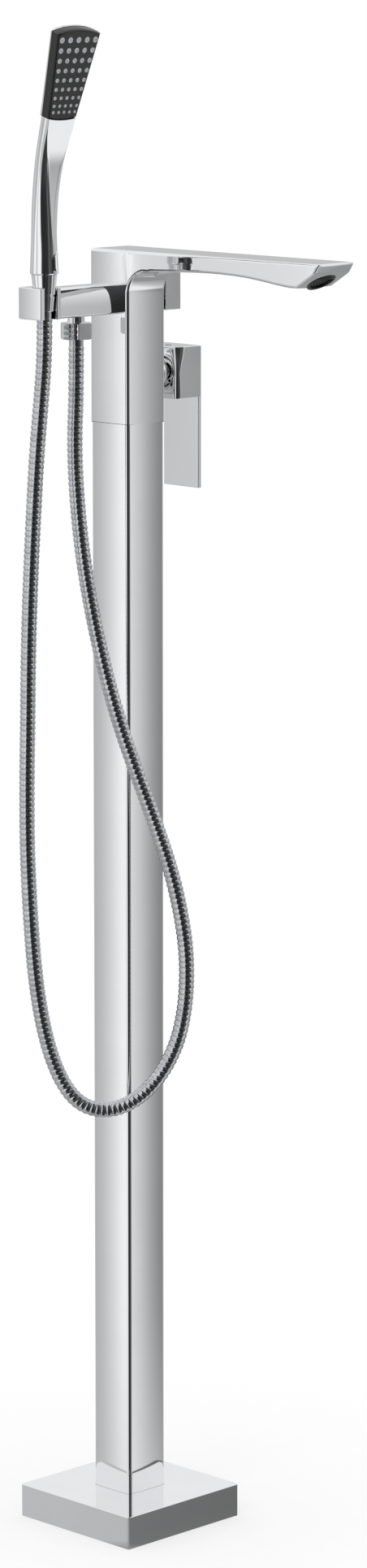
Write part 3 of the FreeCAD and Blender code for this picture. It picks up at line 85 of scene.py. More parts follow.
class Bench:
    """One mesh piece on the bench, worked on in edit mode. Lengths are in millimetres."""

    def __init__(self, piece: bpy.types.Object) -> None:
        """Keeps the piece that the other methods work on."""
        self.piece = piece

    @staticmethod
    def clear() -> None:
        """Deselects everything in the scene."""
        if bpy.context.object is not None and bpy.context.object.mode != "OBJECT":
            bpy.ops.object.mode_set(mode="OBJECT")
        bpy.ops.object.select_all(action="DESELECT")

    @classmethod
    def block(cls, name: str, low: Point, high: Point) -> "Bench":
        """Adds a box between two corners.

        Args:
            name: The new piece's name.
            low: Its lowest corner.
            high: Its highest corner.

        Returns:
            The bench that holds the box.
        """
        cls.clear()
        low_corner, high_corner = Vector(low) * MM, Vector(high) * MM
        bpy.ops.mesh.primitive_cube_add(
            size=1, location=(low_corner + high_corner) / 2, scale=high_corner - low_corner)
        return cls._taken(name)

    @classmethod
    def turned(cls, name: str, profile: Sequence[tuple[float, float]], at: Point,
               turn: Turn = Turn.UP, sides: int = 64, closed: bool = False) -> "Bench":
        """Turns a piece from its profile, extruding, resizing and moving a circle step by step.

        Args:
            name: The new piece's name.
            profile: Pairs of radius and height along the axis.
            at: The axis's foot in the row frame.
            turn: Which way the axis points.
            sides: The number of sides of each circle.
            closed: True if the profile ends where it starts, as in a ring or a washer.

        Returns:
            The bench that holds the turned piece.
        """
        cls.clear()
        radius, height = profile[0]
        bpy.ops.mesh.primitive_circle_add(
            vertices=sides, radius=radius * MM, location=(0, 0, height * MM))
        bench = cls._taken(name)
        with bench.edit():
            bpy.ops.mesh.select_all(action="SELECT")
            for next_radius, next_height in profile[1:]:
                bench.extrude((0, 0, next_height - height))
                share = next_radius / radius
                bpy.ops.transform.resize(value=(share, share, 1), center_override=(0, 0, 0))
                radius, height = next_radius, next_height
            bpy.ops.mesh.select_all(action="SELECT")
            if closed:
                bpy.ops.mesh.remove_doubles(threshold=WELD)
            bench.close(not closed)
        bench.piece.matrix_world = Matrix.Translation(Vector(at) * MM) @ turn.value
        bench.take()
        bpy.ops.object.transform_apply(location=True, rotation=True, scale=True)
        return bench

    @classmethod
    def lofted(cls, name: str, loops: Sequence[Sequence[Vector]]) -> "Bench":
        """Carries a ring of points through a row of sections, one extrusion for each.

        Free-form sections can't be had by resizing a circle, so the points of each new
        ring are put on their section in code.

        Args:
            name: The new piece's name.
            loops: The sections, each with the same number of points, in millimetres.

        Returns:
            The bench that holds the lofted piece.
        """
        cls.clear()
        bpy.ops.mesh.primitive_circle_add(vertices=len(loops[0]), radius=0.01)
        bench = cls._taken(name)
        with bench.edit() as mesh:
            spot = mesh.verts.layers.int.new("spot")
            mesh.verts.ensure_lookup_table()
            for index, vertex in enumerate(mesh.verts):
                vertex[spot] = index
            bpy.ops.mesh.select_all(action="SELECT")
            for number, loop in enumerate(loops):
                if number:
                    bpy.ops.mesh.extrude_region_move()
                mesh = bmesh.from_edit_mesh(bench.piece.data)
                spot = mesh.verts.layers.int["spot"]
                for vertex in mesh.verts:
                    if vertex.select:
                        vertex.co = loop[vertex[spot]] * MM
                bmesh.update_edit_mesh(bench.piece.data)
            bench.close()
        return bench

    @classmethod
    def _taken(cls, name: str) -> "Bench":
        """Names the primitive just added and puts its place into its mesh.

        Args:
            name: The piece's name.

        Returns:
            The bench that holds it.
        """
        piece = bpy.context.object
        piece.name = name
        piece.data.name = name
        bpy.ops.object.transform_apply(location=True, rotation=True, scale=True)
        return cls(piece)

    def take(self) -> None:
        """Selects the piece alone and makes it the active one."""
        self.clear()
        bpy.context.view_layer.objects.active = self.piece
        self.piece.select_set(True)

    @contextmanager
    def edit(self) -> Iterator[bmesh.types.BMesh]:
        """Opens the piece in edit mode with nothing selected, and closes it afterwards.

        Yields:
            The mesh that is being edited.
        """
        self.take()
        bpy.ops.object.mode_set(mode="EDIT")
        bpy.ops.mesh.select_all(action="DESELECT")
        yield bmesh.from_edit_mesh(self.piece.data)
        bpy.ops.object.mode_set(mode="OBJECT")

    def pick(self, kind: str, test: PointTest) -> None:
        """Selects only the vertices, edges or faces that pass a test.

        Args:
            kind: VERT, EDGE or FACE.
            test: Takes the element's middle in millimetres and its direction: a face's or
                a vertex's normal, or the way an edge runs.
        """
        bpy.ops.mesh.select_mode(type=kind)
        bpy.ops.mesh.select_all(action="DESELECT")
        mesh = bmesh.from_edit_mesh(self.piece.data)
        found = False
        for item in {"VERT": mesh.verts, "EDGE": mesh.edges, "FACE": mesh.faces}[kind]:
            if kind == "VERT":
                middle, way = item.co, item.normal
            elif kind == "EDGE":
                start, end = (vertex.co for vertex in item.verts)
                middle, way = (start + end) / 2, (end - start).normalized()
            else:
                middle, way = item.calc_center_median(), item.normal
            if test(middle / MM, way):
                item.select_set(True)
                found = True
        mesh.select_flush_mode()
        bmesh.update_edit_mesh(self.piece.data)
        if not found:
            LOG.warning("%s: nothing picked among its %s elements", self.piece.name, kind)

    @staticmethod
    def close(fill: bool = True) -> None:
        """Turns every face outwards.

        Args:
            fill: True to fill the open ends first.
        """
        bpy.ops.mesh.select_all(action="SELECT")
        if fill:
            bpy.ops.mesh.select_non_manifold()
            bpy.ops.mesh.fill_holes(sides=0)
            bpy.ops.mesh.select_all(action="SELECT")
        bpy.ops.mesh.normals_make_consistent(inside=False)

    @staticmethod
    def extrude(move: Point) -> None:
        """Extrudes what is selected by a move."""
        bpy.ops.mesh.extrude_region_move(TRANSFORM_OT_translate={"value": Vector(move) * MM})

    def drop(self, test: PointTest) -> None:
        """Deletes the faces that pass a test."""
        self.pick("FACE", test)
        bpy.ops.mesh.delete(type="FACE")

    def shift(self, test: PointTest, move: Point) -> None:
        """Moves the vertices that pass a test."""
        self.pick("VERT", test)
        bpy.ops.transform.translate(value=Vector(move) * MM)

    def round(self, test: PointTest, width: float, steps: int) -> None:
        """Rounds the edges that pass a test, to a width in a number of steps."""
        self.pick("EDGE", test)
        bpy.ops.mesh.bevel(offset=width * MM, segments=steps, profile=0.5, affect="EDGES")

    def slice(self, axis: int, places: Sequence[float]) -> None:
        """Cuts new edges right round the piece.

        Args:
            axis: 0, 1 or 2: the axis that the cuts are square to.
            places: Where along that axis they are.
        """
        normal = Vector()
        normal[axis] = 1
        for place in places:
            bpy.ops.mesh.select_all(action="SELECT")
            bpy.ops.mesh.bisect(plane_co=normal * place * MM, plane_no=normal)

    def swell(self, amount: Callable[[Vector, Vector], Vector]) -> None:
        """Moves each vertex by its own small step, as dressing on a polishing wheel does.

        Args:
            amount: Takes a vertex's place in millimetres and its normal, and gives the step.
        """
        mesh = bmesh.from_edit_mesh(self.piece.data)
        mesh.normal_update()
        steps = [amount(vertex.co / MM, vertex.normal.copy()) for vertex in mesh.verts]
        for vertex, step in zip(mesh.verts, steps):
            vertex.co += step * MM
        bmesh.update_edit_mesh(self.piece.data)

    def apply(self, kind: str, **settings: Any) -> None:
        """Adds a modifier and applies it.

        Args:
            kind: The modifier's type.
            **settings: Its settings, by name.
        """
        self.take()
        modifier = self.piece.modifiers.new(kind.title(), kind)
        for setting, value in settings.items():
            setattr(modifier, setting, value)
        bpy.ops.object.modifier_apply(modifier=modifier.name)

    def combine(self, operation: str, *others: "Bench") -> None:
        """Combines the piece with other solids, one by one, and clears them away.

        Args:
            operation: DIFFERENCE, UNION or INTERSECT.
            *others: The benches with the other solids.
        """
        for other in others:
            self.apply("BOOLEAN", operation=operation, solver="EXACT", object=other.piece)
            bpy.data.objects.remove(other.piece)

    def drill(self, radius: float, low: float, high: float, at: Point,
              turn: Turn = Turn.UP) -> None:
        """Drills a round hole.

        Args:
            radius: The hole's radius.
            low: Where it starts along its axis.
            high: Where it ends along its axis.
            at: The axis's foot.
            turn: Which way the axis points.
        """
        self.combine("DIFFERENCE", Bench.turned("seat", [(radius, low), (radius, high)], at, turn))

    def join(self, *others: "Bench") -> None:
        """Joins other pieces into this one.

        Args:
            *others: The benches with the other pieces.
        """
        self.take()
        for other in others:
            other.piece.select_set(True)
        bpy.ops.object.join()

    def smooth(self, angle: float, even: bool) -> None:
        """Shades the piece smooth.

        Args:
            angle: Edges that turn by more degrees than this stay sharp.
            even: True to weight normals by area, so that flats stay flat beside rounded edges.
        """
        self.take()
        bpy.ops.object.shade_smooth_by_angle(angle=math.radians(angle))
        if even:
            self.apply("WEIGHTED_NORMAL", keep_sharp=True, weight=FLAT_WEIGHT)


def upright(at: Vector, way: Vector) -> bool:
    """True for an edge that runs up, or a face that looks up or down."""
    return abs(way.z) > ALONG


def crowned(half: float, rise: float, fall: float) -> Callable[[float], float]:
    """The crown that polishing leaves on a flat side.

    Args:
        half: Half the side's width.
        rise: How far its middle stands out.
        fall: How much lower its edges are than its middle.

    Returns:
        A function from the place across the side to the step outwards, in millimetres.
    """
    def step(across: float) -> float:
        """The step outwards at a place across the side."""
        return rise - fall * min(abs(across) / half, 1.0) ** 2
    return step


def even_places(half: float, parts: int, middle: float = 0.0) -> list[float]:
    """The places inside a side that cut each half of it into equal parts.

    Args:
        half: Half the side's width.
        parts: How many parts each half has.
        middle: Where the side's middle is.

    Returns:
        The places, from low to high.
    """
    return [middle + i * half / parts for i in range(1 - parts, parts)]


def soft_block(name: str, low: Point, high: Point, level: float, cuts: Sequence[float],
               edge: float) -> Bench:
    """A block with its faces cut into strips and its twelve edges rounded.

    Args:
        name: The new piece's name.
        low: Its lowest corner.
        high: Its highest corner.
        level: The height that its upright cuts are counted from.
        cuts: The places of the cuts, beside the axis and over that height.
        edge: How wide the rounding is.

    Returns:
        The bench that holds the block.
    """
    def on_edge(at: Vector, way: Vector) -> bool:
        """True on two sides of the block at once."""
        return sum(at[i] < low[i] + NEAR or at[i] > high[i] - NEAR for i in range(3)) >= 2

    bench = Bench.block(name, low, high)
    with bench.edit():
        for axis, middle in ((0, 0.0), (2, level)):
            bench.slice(axis, [middle + cut for cut in cuts])
        bench.round(on_edge, edge, 4)
    return bench


# Finishes.


def srgb(code: str) -> tuple[float, float, float, float]:
    """Turns a hex sRGB colour into linear values.

    Args:
        code: Six hex digits after a #.

    Returns:
        Red, green and blue, and 1 for alpha.
    """
    values = [int(code[i:i + 2], 16) / 255 for i in (1, 3, 5)]
    linear = [v / 12.92 if v <= 0.04045 else ((v + 0.055) / 1.055) ** 2.4 for v in values]
    return (*linear, 1.0)


def add_node(tree: bpy.types.NodeTree, kind: str, settings: dict[Any, Any] | None = None,
             links: dict[Any, bpy.types.NodeSocket] | None = None) -> bpy.types.Node:
    """Adds a node with its settings and links.

    Args:
        tree: The node tree.
        kind: The node's type name, without the ShaderNode that it starts with.
        settings: Values for inputs, by name or number, or for the node's own properties;
            "stops" takes a colour ramp's pairs of position and hex colour, in rising order.
        links: The output that feeds each named or numbered input.

    Returns:
        The new node.
    """
    node = tree.nodes.new("ShaderNode" + kind)
    for key, value in (settings or {}).items():
        if key == "stops":
            elements = node.color_ramp.elements
            while len(elements) > 1:
                elements.remove(elements[-1])
            elements[0].position, elements[0].color = value[0][0], srgb(value[0][1])
            for position, code in value[1:]:
                elements.new(position).color = srgb(code)
        elif isinstance(key, int) or key in node.inputs:
            node.inputs[key].default_value = value
        else:
            setattr(node, key, value)
    for key, source in (links or {}).items():
        tree.links.new(source, node.inputs[key])
    return node


def new_material(name: str) -> tuple[bpy.types.Material, bpy.types.NodeTree]:
    """Makes a material whose node tree is empty.

    Args:
        name: The material's name.

    Returns:
        The material and its tree.
    """
    material = bpy.data.materials.new(name)
    material.use_nodes = True
    material.node_tree.nodes.clear()
    return material, material.node_tree


@dataclass(frozen=True)
class Finish:
    """A surface as it is made: its colours, its gloss and the scale of what breaks it up."""

    name: str
    slot: str
    colour: str
    worn_colour: str
    metallic: float
    roughness: tuple[float, float]
    mark_mm: float
    grain_mm: tuple[float, float, float]
    relief_mm: float
    coat: float = 0.0
    sheen: float = 0.0

    def material(self) -> bpy.types.Material:
        """Builds the material once and gives the same one afterwards.

        Returns:
            The Blender material.
        """
        known = bpy.data.materials.get(self.name)
        if known is not None:
            return known
        material, tree = new_material(self.name)
        place = add_node(tree, "TexCoord").outputs["Object"]
        marks = add_node(tree, "TexNoise", {
            "Scale": 1 / (self.mark_mm * MM), "Detail": 3.0, "Roughness": 0.55}, {"Vector": place})
        gloss = add_node(tree, "MapRange", {
            "From Min": 0.3, "From Max": 0.7,
            "To Min": self.roughness[0], "To Max": self.roughness[1]},
            {"Value": marks.outputs["Fac"]})
        tone = add_node(tree, "ValToRGB", {
            "stops": ((0.3, self.colour), (0.75, self.worn_colour))}, {"Fac": marks.outputs["Fac"]})
        stretched = add_node(tree, "Mapping", {
            "Scale": tuple(1 / (size * MM) for size in self.grain_mm)}, {"Vector": place})
        grain = add_node(tree, "TexNoise", {
            "Scale": 1.0, "Detail": 2.0, "Roughness": 0.5}, {"Vector": stretched.outputs["Vector"]})
        relief = add_node(tree, "Bump", {
            "Strength": 1.0, "Distance": self.relief_mm * MM}, {"Height": grain.outputs["Fac"]})
        shader = add_node(tree, "BsdfPrincipled", {
            "Metallic": self.metallic, "Coat Weight": self.coat, "Sheen Weight": self.sheen}, {
            "Base Color": tone.outputs["Color"], "Roughness": gloss.outputs["Result"],
            "Normal": relief.outputs["Normal"]})
        add_node(tree, "OutputMaterial", {}, {"Surface": shader.outputs["BSDF"]})
        return material


# Chrome plate on polished brass: a mirror, with the faint haze that wiping leaves.
CHROME = Finish("chrome_plated_brass", "chrome", "#F2F3F4", "#EFF0F2", 1.0, (0.028, 0.042), 30.0,
                (6.0, 6.0, 6.0), 0.00005)
# The hose's rolled strip is thinner chrome over stainless steel, a little greyer.
HOSE_CHROME = Finish("chromed_steel_strip", "hose_metal", "#D2D4D7", "#B8BBBF", 1.0, (0.07, 0.13),
                     9.0, (1.2, 1.2, 1.2), 0.0004)
# Stainless steel as it comes off the brush, fine lines along the floor.
STEEL = Finish("brushed_stainless_steel", "steel", "#C9CBCD", "#AEB1B4", 1.0, (0.26, 0.4), 6.0,
               (9.0, 0.25, 0.25), 0.004)
# Drawn copper pipe, dulled by handling.
COPPER = Finish("drawn_copper_pipe", "copper", "#C98B66", "#9C5F41", 1.0, (0.25, 0.45), 7.0,
                (0.4, 0.4, 8.0), 0.004)
# Machined brass with the lathe's rings.
BRASS = Finish("machined_brass", "brass", "#D8B36A", "#B98F48", 1.0, (0.22, 0.38), 5.0,
               (3.0, 0.3, 0.3), 0.004)
# Black nitrile of the seals.
SEAL = Finish("nitrile_rubber", "rubber", "#17181A", "#232527", 0.0, (0.55, 0.75), 3.0,
              (0.5, 0.5, 0.5), 0.02, sheen=0.2)
# Injection moulded ABS, satin black, with a fine spark-eroded texture.
BLACK_ABS = Finish("moulded_black_abs", "black_plastic", "#0B0B0C", "#17181A", 0.0, (0.28, 0.4),
                   5.0, (0.6, 0.6, 0.6), 0.006, coat=0.15)
# Soft grey silicone of the spray tips.
SILICONE = Finish("grey_silicone", "nozzle_rubber", "#B4B6B9", "#9C9FA3", 0.0, (0.45, 0.6), 2.0,
                  (0.4, 0.4, 0.4), 0.01, sheen=0.15)
# Lapped alumina of the cartridge's discs.
ALUMINA = Finish("lapped_alumina", "ceramic", "#ECEAE4", "#DEDBD3", 0.0, (0.12, 0.2), 4.0,
                 (0.8, 0.8, 0.8), 0.001, coat=0.2)
FINISHES = {finish.slot: finish for finish in (
    CHROME, HOSE_CHROME, STEEL, COPPER, BRASS, SEAL, BLACK_ABS, SILICONE, ALUMINA)}


def dress(bench: Bench, finish: Finish, body: str, *nodes: str, angle: float = 32.0,
          even: bool = True) -> bpy.types.Object:
    """Smooths a piece, and gives it its material, its body and the CAD nodes it stands for.

    Args:
        bench: The bench with the finished piece.
        finish: Its finish.
        body: The CAD body that it rides on.
        *nodes: The CAD nodes that it replaces.
        angle: Edges that turn by more degrees than this stay sharp.
        even: True to weight normals by area, so that flats stay flat beside rounded edges.

    Returns:
        The piece.
    """
    bench.smooth(angle, even)
    piece = bench.piece
    piece.data.materials.clear()
    piece.data.materials.append(finish.material())
    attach(piece, body)
    if nodes:
        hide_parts(*nodes)
    LOG.info("%s: %d faces on %s", piece.name, len(piece.data.polygons), body)
    return piece


# Studio.


@dataclass
class Studio:
    """The camera, the pale floor, the soft light and what the chrome sees around it."""

    camera_at: tuple[float, float, float] = (2828.84, -2768.14, 1296.51)
    looks: tuple[float, float, float] = (-0.69618, 0.69618, -0.17509)
    lens: float = 118.603
    sensor: float = 36.0
    floor_radius: float = 12000.0
    tray_half: float = 82.0
    tray_tall: float = 19.0
    tray_corner: float = 8.0
    # Metres from the foot between which the floor fades to plain white.
    fade: tuple[float, float] = (0.08, 0.4)
    # The plain light's level, and the rises at which the mirrors' ring changes for the upper
    # and the lower one.
    fill: float = 0.86
    sky: tuple[float, float] = (0.0, 0.25)
    ground: tuple[float, float] = (-0.26, -0.38)
    key_at: tuple[float, float, float] = (900.0, -2300.0, 2600.0)
    key_aim: tuple[float, float, float] = (0.0, 0.0, 600.0)
    key_size: float = 1600.0
    key_power: float = 16.0

    # What a mirror sees at each angle to the right of the camera, as two hex digits of grey.
    SURROUND = (
        (-180, "B4"), (-140, "BC"), (-116, "D6"), (-104, "BA"), (-98, "B8"), (-94, "C8"),
        (-90, "E0"), (-86, "FA"), (-82, "FF"), (-66, "F4"), (-62, "6A"), (-58, "EC"),
        (-48, "FF"), (-25, "FF"), (-18, "3C"), (-4, "2A"), (30, "30"), (38, "3A"), (45, "70"),
        (52, "42"), (60, "4C"), (72, "60"), (77, "8C"), (82, "E8"), (87, "CC"), (91, "AC"),
        (95, "8E"), (100, "80"), (110, "C0"), (132, "C0"), (180, "B4"))
    # The same further down, where light comes back from the pale floor.
    LOW_SURROUND = (
        (-180, "9E"), (-80, "C8"), (-24, "C0"), (-14, "40"), (0, "30"), (46, "48"), (60, "90"),
        (70, "F4"), (94, "F8"), (104, "C0"), (122, "98"), (180, "9E"))
    # The same higher up: pale all round but for the dark side that the camera stands on.
    HIGH_SURROUND = (
        (-180, "F2"), (-66, "F6"), (-62, "B0"), (-58, "F6"), (-22, "FF"), (-15, "56"),
        (0, "48"), (50, "50"), (74, "7C"), (84, "F4"), (180, "F2"))

    def build(self) -> None:
        """Makes the camera, floor, lamps and world."""
        bpy.context.scene.view_settings.view_transform = "Standard"
        self._camera()
        self._floor()
        self._painted_reflection_band()
        self._lamps()
        self._world()

    def _camera(self) -> None:
        """Puts the camera where the photograph was taken from."""
        camera = bpy.data.objects.new("camera", bpy.data.cameras.new("camera"))
        bpy.context.scene.collection.objects.link(camera)
        camera.data.lens = self.lens
        camera.data.sensor_width = self.sensor
        camera.data.clip_start, camera.data.clip_end = 0.05, 60.0
        camera.location = Vector(self.camera_at) * MM
        camera.rotation_euler = Vector(self.looks).to_track_quat("-Z", "Y").to_euler()
        bpy.context.scene.camera = camera

    def _floor(self) -> None:
        """Lays the pale floor, which the metal doesn't mirror and which keeps the shadow."""
        Bench.clear()
        bpy.ops.mesh.primitive_circle_add(
            vertices=96, radius=self.floor_radius * MM, fill_type="NGON")
        floor = bpy.context.object
        floor.name = "studio_floor"
        floor.visible_glossy = False
        material, tree = new_material("matt_white_sheet")
        place = add_node(tree, "TexCoord").outputs["Object"]
        speckle = add_node(tree, "TexNoise", {"Scale": 60.0, "Detail": 2.0}, {"Vector": place})
        tone = add_node(tree, "ValToRGB", {
            "stops": ((0.3, "#FAFAFA"), (0.7, "#FDFDFD"))}, {"Fac": speckle.outputs["Fac"]})
        sheet = add_node(tree, "BsdfDiffuse", {}, {"Color": tone.outputs["Color"]})
        reach = add_node(tree, "VectorMath", {"operation": "LENGTH"}, {0: place})
        away = add_node(tree, "MapRange", {
            "From Min": self.fade[0], "From Max": self.fade[1], "To Min": 0.6, "To Max": 1.0},
            {"Value": reach.outputs["Value"]})
        seen = add_node(tree, "LightPath").outputs["Is Camera Ray"]
        share = add_node(tree, "Math", {"operation": "MULTIPLY"},
                         {0: away.outputs["Result"], 1: seen})
        glow = add_node(tree, "Emission", {"Color": (1, 1, 1, 1), "Strength": 1.0})
        mixed = add_node(tree, "MixShader", {}, {
            0: share.outputs["Value"], 1: sheet.outputs["BSDF"], 2: glow.outputs["Emission"]})
        add_node(tree, "OutputMaterial", {}, {"Surface": mixed.outputs["Shader"]})
        floor.data.materials.append(material)

    def _painted_reflection_band(self) -> None:
        """A glowing tray round the foot, seen only in mirrors: a painted reflection, lighter by the
        arm, darker on the other side.
        """
        half = self.tray_half
        bench = Bench.block("painted_reflection_tray", (-half, -half, 0.2), (half, half, self.tray_tall))
        with bench.edit():
            bench.drop(lambda at, way: way.z > ALONG)
            bench.round(upright, self.tray_corner, 4)
        tray = bench.piece
        for ray in ("camera", "diffuse", "transmission", "shadow", "volume_scatter"):
            setattr(tray, "visible_" + ray, False)
        material, tree = new_material("painted_reflection_grey")
        place = add_node(tree, "TexCoord").outputs["Object"]
        sides = add_node(tree, "SeparateXYZ", {}, {"Vector": place})
        across = add_node(tree, "Math", {"operation": "ADD"},
                          {0: sides.outputs["X"], 1: sides.outputs["Y"]})
        where = add_node(tree, "MapRange", {"From Min": -0.2, "From Max": 0.2},
                         {"Value": across.outputs["Value"]})
        # Painted reflection: pale grey by the arm and dark grey on the far side, mirrored in the
        # foot's sides as painted shade.
        tone = add_node(tree, "ValToRGB", {"stops": (
            (0.0, "#C4C4C4"), (0.42, "#C0C0C0"), (0.55, "#787878"), (1.0, "#6C6C6C"))},
            {"Fac": where.outputs["Result"]})
        glow = add_node(tree, "Emission", {"Strength": 1.0}, {"Color": tone.outputs["Color"]})
        add_node(tree, "OutputMaterial", {}, {"Surface": glow.outputs["Emission"]})
        tray.data.materials.append(material)

    def _lamps(self) -> None:
        """Hangs one large soft lamp in front and above, which the metal doesn't mirror."""
        lamp = bpy.data.lights.new("soft_lamp", "AREA")
        lamp.shape, lamp.size, lamp.energy = "DISK", self.key_size * MM, self.key_power
        holder = bpy.data.objects.new("soft_lamp", lamp)
        bpy.context.scene.collection.objects.link(holder)
        holder.location = Vector(self.key_at) * MM
        aim = Vector(self.key_aim) * MM - holder.location
        holder.rotation_euler = aim.to_track_quat("-Z", "Y").to_euler()
        holder.visible_glossy = False

    def _world(self) -> None:
        """Makes the world: white to the camera, plain light, and a studio in the mirrors."""
        world = bpy.data.worlds.new("studio")
        bpy.context.scene.world = world
        world.use_nodes = True
        tree = world.node_tree
        tree.nodes.clear()
        way = add_node(tree, "TexCoord").outputs["Generated"]
        turned = add_node(tree, "VectorRotate", {
            "rotation_type": "Z_AXIS", "Angle": math.pi / 4}, {"Vector": way})
        parts = add_node(tree, "SeparateXYZ", {}, {"Vector": turned.outputs["Vector"]})
        angle = add_node(tree, "Math", {"operation": "ARCTAN2"},
                         {0: parts.outputs["Y"], 1: parts.outputs["X"]})
        place = add_node(tree, "MapRange", {"From Min": -math.pi, "From Max": math.pi},
                         {"Value": angle.outputs["Value"]})
        around, low_around, high_around = (
            add_node(tree, "ValToRGB", {
                "stops": [((degrees + 180) / 360, "#" + grey * 3) for degrees, grey in ring]},
                {"Fac": place.outputs["Result"]})
            for ring in (self.SURROUND, self.LOW_SURROUND, self.HIGH_SURROUND))
        above = add_node(tree, "MapRange", {
            "From Min": self.sky[0], "From Max": self.sky[1], "interpolation_type": "SMOOTHSTEP"},
            {"Value": parts.outputs["Z"]})
        below = add_node(tree, "MapRange", {
            "From Min": self.ground[0], "From Max": self.ground[1],
            "interpolation_type": "SMOOTHSTEP"}, {"Value": parts.outputs["Z"]})
        with_sky = add_node(tree, "Mix", {"data_type": "RGBA"}, {
            0: above.outputs["Result"], 6: around.outputs["Color"],
            7: high_around.outputs["Color"]})
        with_ground = add_node(tree, "Mix", {"data_type": "RGBA"}, {
            0: below.outputs["Result"], 6: with_sky.outputs[2], 7: low_around.outputs["Color"]})
        path = add_node(tree, "LightPath")
        plain = add_node(tree, "Mix", {
            "data_type": "RGBA", 6: (self.fill, self.fill, self.fill, 1), 7: (1, 1, 1, 1)},
            {0: path.outputs["Is Camera Ray"]})
        seen = add_node(tree, "Mix", {"data_type": "RGBA"}, {
            0: path.outputs["Is Glossy Ray"], 6: plain.outputs[2], 7: with_ground.outputs[2]})
        light = add_node(tree, "Background", {"Strength": 1.0}, {"Color": seen.outputs[2]})
        add_node(tree, "OutputWorld", {}, {"Surface": light.outputs["Background"]})


# Foot and column.


@dataclass
class FootAndColumn:
    """The square foot's cover and the square column."""

    foot_side: float = 123.0
    foot_tall: float = 26.0
    foot_corner: float = 2.5
    foot_wall: float = 2.5
    foot_edge: float = 0.45
    window_gap: float = 0.2
    side: float = 40.0
    low: float = 6.0
    high: float = 875.8
    corner: float = 2.6
    wall: float = 2.0
    rise: float = 0.45
    fall: float = 0.65

    def build(self) -> None:
        """Makes both pieces."""
        self._cover()
        self._column()

    def _post(self, name: str, grow: float, low: float, high: float) -> Bench:
        """The column's outline as a solid: its sides crowned by polishing, its uprights rounded.

        Args:
            name: The new piece's name.
            grow: How much further out its sides are than the column's.
            low: Its foot's height.
            high: Its top's height.

        Returns:
            The bench that holds the solid.
        """
        half = self.side / 2 + grow
        step = crowned(half, self.rise, self.fall)

        def outward(at: Vector, way: Vector) -> Vector:
            """The crown's step at a place."""
            flat = Vector((way.x, way.y, 0)).normalized()
            return Vector((flat.x * step(at.y), flat.y * step(at.x), 0))

        bench = Bench.block(name, (-half, -half, low), (half, half, high))
        with bench.edit():
            for axis in (0, 1):
                bench.slice(axis, even_places(half, 6))
            bench.slice(2, [low + i * (high - low) / 4 for i in range(1, 4)])
            bench.round(lambda at, way: upright(at, way)
                       and min(abs(at.x), abs(at.y)) > half - NEAR, self.corner, 8)
            bench.swell(outward)
        return bench

    def _cover(self) -> None:
        """An upside-down tray: open block, rounded corners, wall, and the column's window."""
        half = self.foot_side / 2
        bench = Bench.block("foot_cover", (-half, -half, 0), (half, half, self.foot_tall))
        with bench.edit():
            bench.drop(lambda at, way: way.z < -ALONG)
            bench.round(upright, self.foot_corner, 6)
            bench.round(lambda at, way: at.z > self.foot_tall - NEAR, self.foot_edge, 3)
        bench.apply("SOLIDIFY", thickness=self.foot_wall * MM, offset=-1)
        bench.combine("DIFFERENCE", self._post("window", self.window_gap, 10, self.foot_tall + 10))
        dress(bench, CHROME, "cover", "base_cover")

    def _column(self) -> None:
        """A square tube: the crowned post without its ends, with a wall."""
        bench = self._post("column", 0.0, self.low, self.high)
        with bench.edit():
            bench.drop(upright)
        bench.apply("SOLIDIFY", thickness=self.wall * MM, offset=-1)
        dress(bench, CHROME, "stand", "column_tube", even=False)


# Mixer body.


